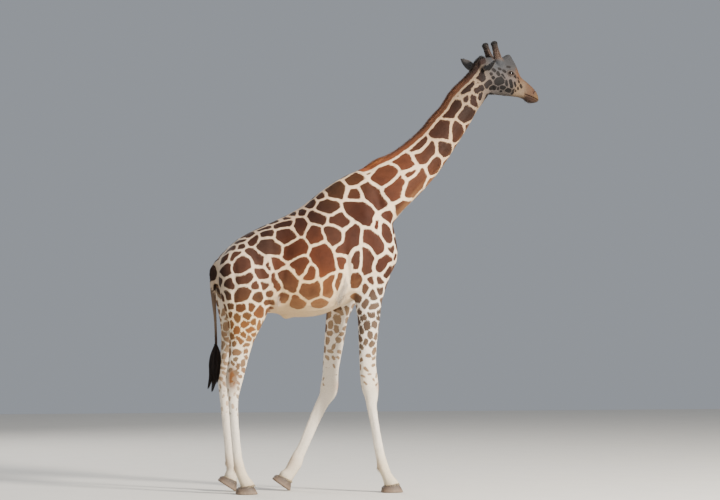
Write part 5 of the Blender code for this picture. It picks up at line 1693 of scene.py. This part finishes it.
def makeHorns():
    skinFinish = makeHairFinish("horn skin")
    hairFinish = makeHairFinish("horn hair", 0.45)
    for side, word in sides:
        foot, top = mirrored(horns["foot"], side), mirrored(horns["top"], side)
        whole = top - foot
        rows = splineRows([(*(foot + whole * share), radius) for share, radius in horns["radii"]], 5)
        rows[:, 3] -= horns["hair"]
        points, faces = loft(strandRings(rows, 28))
        points += noise(points, 0.02, 3 + side)[:, None] * 0.0008
        mesh = makeMesh("horn", fromHead(points), faces)
        share = np.clip((points - foot) @ whole / (whole @ whole), 0, 1.1)
        tones = hornTones(share, "skinTones")
        makePiece(f"horn_{word}", pointsOf(mesh), trianglesOf(mesh), skinFinish,
                  [f"ossicone_{word}"], {"tone": tones})
        growHornHair(word, foot, top, hairFinish)


eyes = {
    "steps": 40,
    "around": 64,
    "iris": 0.0186,
    "pupil": (0.0125, 0.0060),  # half of it along and up
    "cornea": 0.0016,  # how far it stands out
    "white": "8a766b",
    "edge": "1d110b",
    "brown": "37200f",
    "black": "060404",
    "lashes": 64,
    "lashLength": (0.018, 0.030),
    "lashTone": "120d0b",
}


def makeEyeball(side, word, material):
    out, along, up = eyeAxes(side)
    points, faces = loft(sphereRings(skull["eyeRadius"] - 0.0004, eyes["steps"], eyes["around"]))
    radius = np.linalg.norm(points[:, :2], axis=1)
    front = points[:, 2] > 0
    points[:, 2] += np.where(front, eyes["cornea"] * (1 - ramp(radius, 0.008, 0.0205)), 0)
    ellipse = np.hypot(points[:, 0] / eyes["pupil"][0], points[:, 1] / eyes["pupil"][1])
    tones = np.repeat(linear(eyes["white"])[None], len(points), axis=0)
    tint(tones, eyes["edge"], ramp(radius, eyes["iris"] + 0.0022, eyes["iris"] + 0.0006) * front)
    tint(tones, eyes["brown"], ramp(radius, eyes["iris"] - 0.001, eyes["iris"] - 0.006) * front)
    tint(tones, eyes["black"], ramp(ellipse, 1.12, 0.95) * front)
    centre = mirrored(skull["eyeAt"], side)
    mesh = makeMesh("eye", fromHead(points @ np.stack((along, up, out)) + centre), faces)
    makePiece(f"eyeball_{word}", pointsOf(mesh), trianglesOf(mesh), material, [f"eye_{word}"],
              {"tone": tones})


def growLashes(side, word, material):
    out, along, up = eyeAxes(side)
    count = eyes["lashes"]
    turn = np.linspace(0.12, 0.92, count) * np.pi + chance.normal(0, 0.012, count)
    across = lids["halfWide"] * np.cos(turn)
    height = lids["upper"] * np.sin(turn) ** lids["pointed"]
    flat = across[:, None] * along + height[:, None] * up
    rim = skull["eyeRadius"] + lids["cover"] - 0.0012
    lift = np.sqrt(np.maximum(rim**2 - (flat**2).sum(axis=1), 0))[:, None]
    root = mirrored(skull["eyeAt"], side) + flat + out * lift
    fan = np.cos(turn)[:, None] * along * 0.55
    way = unit(out * 0.95 + fan - up * 0.10 + chance.normal(0, 0.05, (count, 3)))
    long = chance.uniform(*eyes["lashLength"], (count, 1)) * (0.65 + 0.35 * np.sin(turn)[:, None])
    t = np.linspace(0, 1, 6)[None, :, None]
    lines = root[:, None] + way[:, None] * long[:, None] * t
    lines = lines - up * long[:, None] * 0.35 * np.sin(np.pi * t * 0.8)
    widths = chance.uniform(0.00055, 0.0008, (count, 1)) * np.linspace(1, 0.4, 5)[None]
    uv = np.stack((0.05 + 0.9 * np.arange(count) / count, np.full(count, 0.5)), axis=1)
    tones = np.repeat(linear(eyes["lashTone"])[None], count, axis=0)
    makeLocks(f"lashes_{word}", lines, widths, np.repeat(up[None], count, axis=0), 0.8, uv, tones,
              material, onHead=True)


def makeEyes():
    finish = Finish("eye", Roughness=0.06, Coat_Weight=1.0, Coat_Roughness=0.02, IOR=1.38)
    tone = finish.attribute("tone", "Color")
    fibres = finish.noise(finish.place(), 900.0, 2.0)
    iris = finish.mix(fibres * 0.5, tone, finish.darker(tone, (0.4, 0.32, 0.28)))
    eyeFinish = finish.wear(Base_Color=iris)
    lashFinish = makeHairFinish("lash", 0.4)
    for side, word in sides:
        makeEyeball(side, word, eyeFinish)
        growLashes(side, word, lashFinish)


hoofTones = {"low": "7d6a5a", "high": "4b3f38", "dust": "a39079"}


def makeHoofFinish():
    finish = Finish("hoof", Specular_IOR_Level=0.4)
    at = finish.place()
    level = finish.attribute("level", "Fac")
    waves = level * 900.0 + finish.noise(at, 30.0) * 6.0
    rings = finish.node("ShaderNodeMath", {"operation": "SINE"}, {0: waves})
    grime = finish.noise(at, 45.0, 4.0)
    share = finish.step(level + (grime - 0.5) * 0.03, 0.005, 0.07)
    tone = finish.mix(share, linear(hoofTones["low"]), linear(hoofTones["high"]))
    streaks = finish.noise(finish.stretch(at, (260.0, 260.0, 18.0)), 1.0, 3.0)
    tone = finish.mix(streaks * 0.6, tone, finish.darker(tone, (0.55, 0.50, 0.46)))
    tone = finish.mix(finish.step(grime, 0.45, 0.80) * 0.35, tone, linear(hoofTones["dust"]))
    relief = finish.bump(rings * 0.5 + streaks, 0.35, 0.0012)
    return finish.wear(Base_Color=tone, Roughness=grime * 0.35 + 0.45, Normal=relief)


def clawOutline(sideOut, toeIn, heelIn, sideIn):
    turn = np.pi * np.arange(hoofShape["steps"]) / (hoofShape["steps"] - 1)
    x = np.cos(turn)
    reach = hoofShape["length"] / 2 - np.where(x > 0, toeIn, heelIn)
    bulge = np.maximum(np.sin(turn), 0) ** 0.75 * (1 - 0.10 * x)
    across = hoofShape["cleft"] / 2 + bulge * (hoofShape["width"] / 2 - hoofShape["cleft"] / 2 - sideIn)
    return x * reach - 0.004, across * sideOut


# Height of the hoof's upper edge along the foot.
def coronetHeight(x):
    frontX, frontZ = hoofShape["coronetFront"]
    backX, backZ = hoofShape["coronetBack"]
    slope = (frontZ - backZ) / (frontX - backX)
    return backZ + slope * (x - backX)


# Rings of one claw from the sole up, drawn in at its edges and lightly waved.
def clawRings(sideOut):
    stack = []
    for height, *drawn in hoofShape["levels"]:
        x, y = clawOutline(sideOut, *drawn)
        stack.append(np.stack((x, y, 0 * x + height), axis=1))
    x, y = clawOutline(sideOut, *hoofShape["top"])
    stack.append(np.stack((x, y, coronetHeight(x) - 0.0004), axis=1))
    rows = np.array(stack)
    t = np.linspace(0, 3, hoofShape["rows"])
    low = np.minimum(t.astype(int), 2)
    share = (t - low)[:, None, None]
    rings = rows[low] * (1 - share) + rows[low + 1] * share
    middle = rings.mean(axis=1, keepdims=True)
    inset = hoofShape["edge"] * 0.5 * (np.exp(-t / 0.35) + np.exp(-(3 - t) / 0.18))[:, None, None]
    away = unit((rings - middle) * (1, 1, 0))
    rings = rings - away * inset
    return rings - away * 0.0006 * np.sin(t * 9.0)[:, None, None]


def makeHooves():
    material = makeHoofFinish()
    for name, (side, _, _, _) in feet.items():
        marks = ("outer", "inner") if side == right else ("inner", "outer")
        for mark, sideOut in zip(marks, (right, left)):
            points, faces = loft(clawRings(sideOut))
            level = points[:, 2].copy()
            work = makeMesh("claw", points, faces)
            work.transform(footFrame(name))
            points = pointsOf(work)
            points[:, 2] = np.maximum(points[:, 2], 0.0)
            node = f"hoof_{name.replace('leg', '')}_{mark}"
            makePiece(node.replace("hoof", "claw"), points, trianglesOf(work), material, [node],
                      {"level": level})


# Longer hair on both sides: the line that it grows on as x and z, how many, how long, the way it hangs,
# tone, and how far off the line it stands.
fringes = {
    "elbow": (((0.200, 2.05), (0.165, 1.92), (0.150, 1.82)), 700, (0.018, 0.048), (-0.35, 0, -1.0),
              "efe4d5", 0.040),
    "elbowTip": (((0.172, 1.86), (0.150, 1.79)), 110, (0.020, 0.045), (-0.35, 0, -1.0), "6a564a", 0.024),
    "flankFold": (((-0.455, 1.86), (-0.440, 1.78)), 90, (0.02, 0.035), (-0.2, 0, -1.0), "e6d6c0", 0.02),
}
headFringes = {
    "chin": (((0.600, -0.330), (0.540, -0.312)), 60, (0.010, 0.022), (0.1, 0, -1.0), "3a2e26", 0.012),
    "lipWhiskers": (((0.675, -0.290), (0.640, -0.262)), 34, (0.008, 0.018), (0.8, 0, -0.5), "5a4a3c", 0.012),
    "jaw": (((0.300, -0.278), (0.120, -0.272)), 80, (0.008, 0.014), (-0.6, 0, -0.7), "6a605a", 0.010),
}
fetlocks = {
    "at": {"foreleg_right": (0.508, 0.235), "foreleg_left": (-0.262, 0.285),
           "hindleg_right": (-0.853, 0.240), "hindleg_left": (-0.878, 0.270)},
    "hairs": 70,
    "length": (0.016, 0.030),
    "tone": "c9b497",
}
coronets = {"hairs": 760, "halfWidth": 0.060, "length": (0.016, 0.028), "tone": "c2b293"}
earHair = {"hairs": 260, "length": (0.010, 0.022), "tone": "a79d94"}


def nearestRoots(tree, places):
    hits = [tree.find_nearest(Vector(place))[:2] for place in places]
    return np.array(hits).swapaxes(0, 1)


def growFringe(name, roots, outs, length, way, tone, material, lift=0.2):
    count = len(roots)
    way = unit(np.array(way, float) + outs * lift + chance.normal(0, 0.10, (count, 3)))
    long = chance.uniform(*length, (count, 1))
    t = np.linspace(0, 1, 6)[None, :, None]
    lines = roots[:, None] - outs[:, None] * 0.002 + way[:, None] * long[:, None] * t
    lines[..., 2] -= (long * 0.18) * (t[..., 0] ** 2)
    widths = chance.uniform(0.0009, 0.0015, (count, 1)) * np.linspace(1, 0.35, 5)[None]
    makeLocks(name, lines, widths, outs, 0.6, anywhere(count), uneven(linear(tone), 0.12, count),
              material)


def growSideFringes(tree, material):
    for name, (line, count, length, way, tone, reach) in fringes.items():
        for side, word in sides:
            spots = splineRows(line, 10)
            pick = chance.integers(0, len(spots), howMany(count))
            flat = spots[pick] + chance.normal(0, reach * 0.5, (len(pick), 2))
            hits = [fromSide(tree, x, z, side) for x, z in flat]
            roots, outs = np.array([hit for hit in hits if hit[0]]).swapaxes(0, 1)
            growFringe(f"{name}_{word}", roots, outs, length, way, tone, material, 0.06)


def growHeadFringes(tree, material):
    for name, (line, count, length, way, tone, reach) in headFringes.items():
        spots = splineRows(line, 8)
        pick = chance.integers(0, len(spots), count)
        flat = spots[pick] + chance.normal(0, reach * 0.4, (count, 2))
        across = chance.normal(0, 0.022, count)
        places = fromHead(np.stack((flat[:, 0], across, flat[:, 1]), axis=1))
        roots, outs = nearestRoots(tree, places)
        growFringe(name, roots, outs, length, headAxes @ np.array(way), tone, material)


def growFootFringes(tree, material):
    for word, (side, _, y, _) in feet.items():
        x, z = fetlocks["at"][word]
        count = fetlocks["hairs"]
        spread = ((x, 0.012), (y * side, 0.018), (z, 0.016))
        places = np.stack([chance.normal(middle, wide, count) for middle, wide in spread], axis=1)
        roots, outs = nearestRoots(tree, places)
        growFringe(f"fetlock_{word}", roots, outs, fetlocks["length"], (-0.25, 0, -1.0), fetlocks["tone"],
                   material, 0.25)

        frontX, backX = hoofShape["coronetFront"][0], hoofShape["coronetBack"][0]
        count = howMany(coronets["hairs"], 0.4)
        turn = chance.uniform(0, 2 * np.pi, count)
        x = (frontX + backX) / 2 + np.cos(turn) * (frontX - backX) / 2 * 1.04
        high = coronetHeight(x) + chance.uniform(0.001, 0.010, count)
        ring = np.stack((x, np.sin(turn) * coronets["halfWidth"], high), axis=1)
        stand = np.array(footFrame(word))
        roots, outs = nearestRoots(tree, ring @ stand[:3, :3].T + stand[:3, 3])
        growFringe(f"coronet_{word}", roots, outs, coronets["length"], stand[:3, :3] @ (0.10, 0, -1.0),
                   coronets["tone"], material, 0.62)


def growEarHair(material):
    for side, word in sides:
        _, (foot, tip, hollow, across) = earRings(side)
        count = howMany(earHair["hairs"])
        share = chance.uniform(0.05, 0.80, count)
        isRim = chance.random(count) < 0.6
        rim = np.sign(chance.normal(size=count)) * chance.uniform(0.75, 0.97, count)
        over = np.where(isRim, rim, chance.uniform(-0.6, 0.6, count))
        half = earShape["width"] / 2 * np.interp(share, *zip(*earShape["outline"]))
        curl = 0.55 * (1 - 0.5 * share) * half
        root = foot + (tip - foot) * share[:, None] + across * (half * over)[:, None]
        root = root + hollow * (curl * over**2)[:, None]
        way = unit(unit(tip - foot) * 0.8 - across * (over * 0.5)[:, None] + hollow * 0.25)
        long = chance.uniform(*earHair["length"], (count, 1))
        t = np.linspace(0, 1, 5)[None, :, None]
        lines = fromHead(root[:, None] + way[:, None] * long[:, None] * t)
        widths = chance.uniform(0.0006, 0.0010, (count, 1)) * np.linspace(1, 0.4, 4)[None]
        outs = np.repeat((hollow @ headAxes.T)[None], count, axis=0)
        uv = np.stack((0.01 + 0.98 * share, 0.5 + 0.48 * over), axis=1)
        tones = uneven(linear(earHair["tone"]), 0.12, count)
        makeLocks(f"ear_hair_{word}", lines, widths, outs, 0.6, uv, tones, material)


def makeBody():
    mesh = makeSkin()
    points = pointsOf(mesh)
    normals = normalsOf(mesh)
    names, along, turn, flow = bodyPlaces(points)
    patches = placePatches(mesh, points, normals, names, turn)
    depth, patch, between = coatColours(points, normals, names, along, patches)
    values = {"depth": depth, "patch": patch, "between": between}
    kinds = ("head", "neck", "trunk", "tail", "ear", "foreleg", "hindleg")
    flesh = [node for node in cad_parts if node.split("_")[0] in kinds and node != "tail_tuft"]
    makePiece("skin", points, trianglesOf(mesh), makeCoatFinish("coat skin", True), flesh, values)
    growCoat(mesh, values, names, along, turn, flow, makeCoatFinish("coat hair", False))
    tree = treeOf(mesh)
    material = makeHairFinish("long hair", 0.6)
    growSideFringes(tree, material)
    growHeadFringes(tree, material)
    growFootFringes(tree, material)
    growEarHair(material)
    bpy.data.meshes.remove(mesh)


studio = {
    "floor": 40.0,
    "camera": (-4.026, -19.706, 1.5),
    "aim": (-0.209, -0.073, 2.295),
    "lens": 105.0,
    # name, place, size, power, colour
    "lamps": (
        ("key", (8.5, -10.5, 8.0), 2.6, 6900.0, (1.0, 0.935, 0.83)),
        ("fill", (-9.0, -10.0, 4.0), 7.0, 260.0, (0.86, 0.93, 1.0)),
        ("back", (-5.0, 9.0, 7.0), 6.0, 700.0, (1.0, 0.97, 0.93)),
        ("top", (0.0, 0.0, 11.0), 7.0, 250.0, (1.0, 1.0, 1.0)),
    ),
    "sky": (0.80, 0.86, 0.95),
    "skyPower": 0.38,
}


def aimed(thing, place, target):
    thing.location = place
    thing.rotation_euler = (Vector(target) - Vector(place)).to_track_quat("-Z", "Y").to_euler()
    bpy.context.scene.collection.objects.link(thing)


def makeStudio():
    half = studio["floor"] / 2
    corners = [(-half, -half, 0), (half, -half, 0), (half, half, 0), (-half, half, 0)]
    floor = makeObject("floor", makeMesh("floor", corners, [(0, 1, 2, 3)]))
    finish = Finish("floor", Roughness=0.85)
    grain = finish.noise(finish.place(), 3.0, 3.0)
    colour = finish.mix(grain, (0.62, 0.60, 0.56), (0.68, 0.66, 0.62))
    floor.data.materials.append(finish.wear(Base_Color=colour))
    for name, place, size, power, colour in studio["lamps"]:
        lamp = bpy.data.lights.new(name, "AREA")
        lamp.shape = "DISK"
        lamp.size = size
        lamp.energy = power
        lamp.color = colour
        aimed(bpy.data.objects.new(name, lamp), place, (0, 0, 2.0))
    world = bpy.data.worlds.new("studio")
    bpy.context.scene.world = world
    world.use_nodes = True
    sky = world.node_tree.nodes["Background"]
    sky.inputs["Color"].default_value = (*studio["sky"], 1.0)
    sky.inputs["Strength"].default_value = studio["skyPower"]
    lens = bpy.data.cameras.new("camera")
    lens.lens = studio["lens"]
    lens.clip_end = 100.0
    camera = bpy.data.objects.new("camera", lens)
    aimed(camera, studio["camera"], studio["aim"])
    bpy.context.scene.camera = camera


makeStudio()
makeBody()
makeMane()
makeTailTuft()
makeHorns()
makeEyes()
makeHooves()
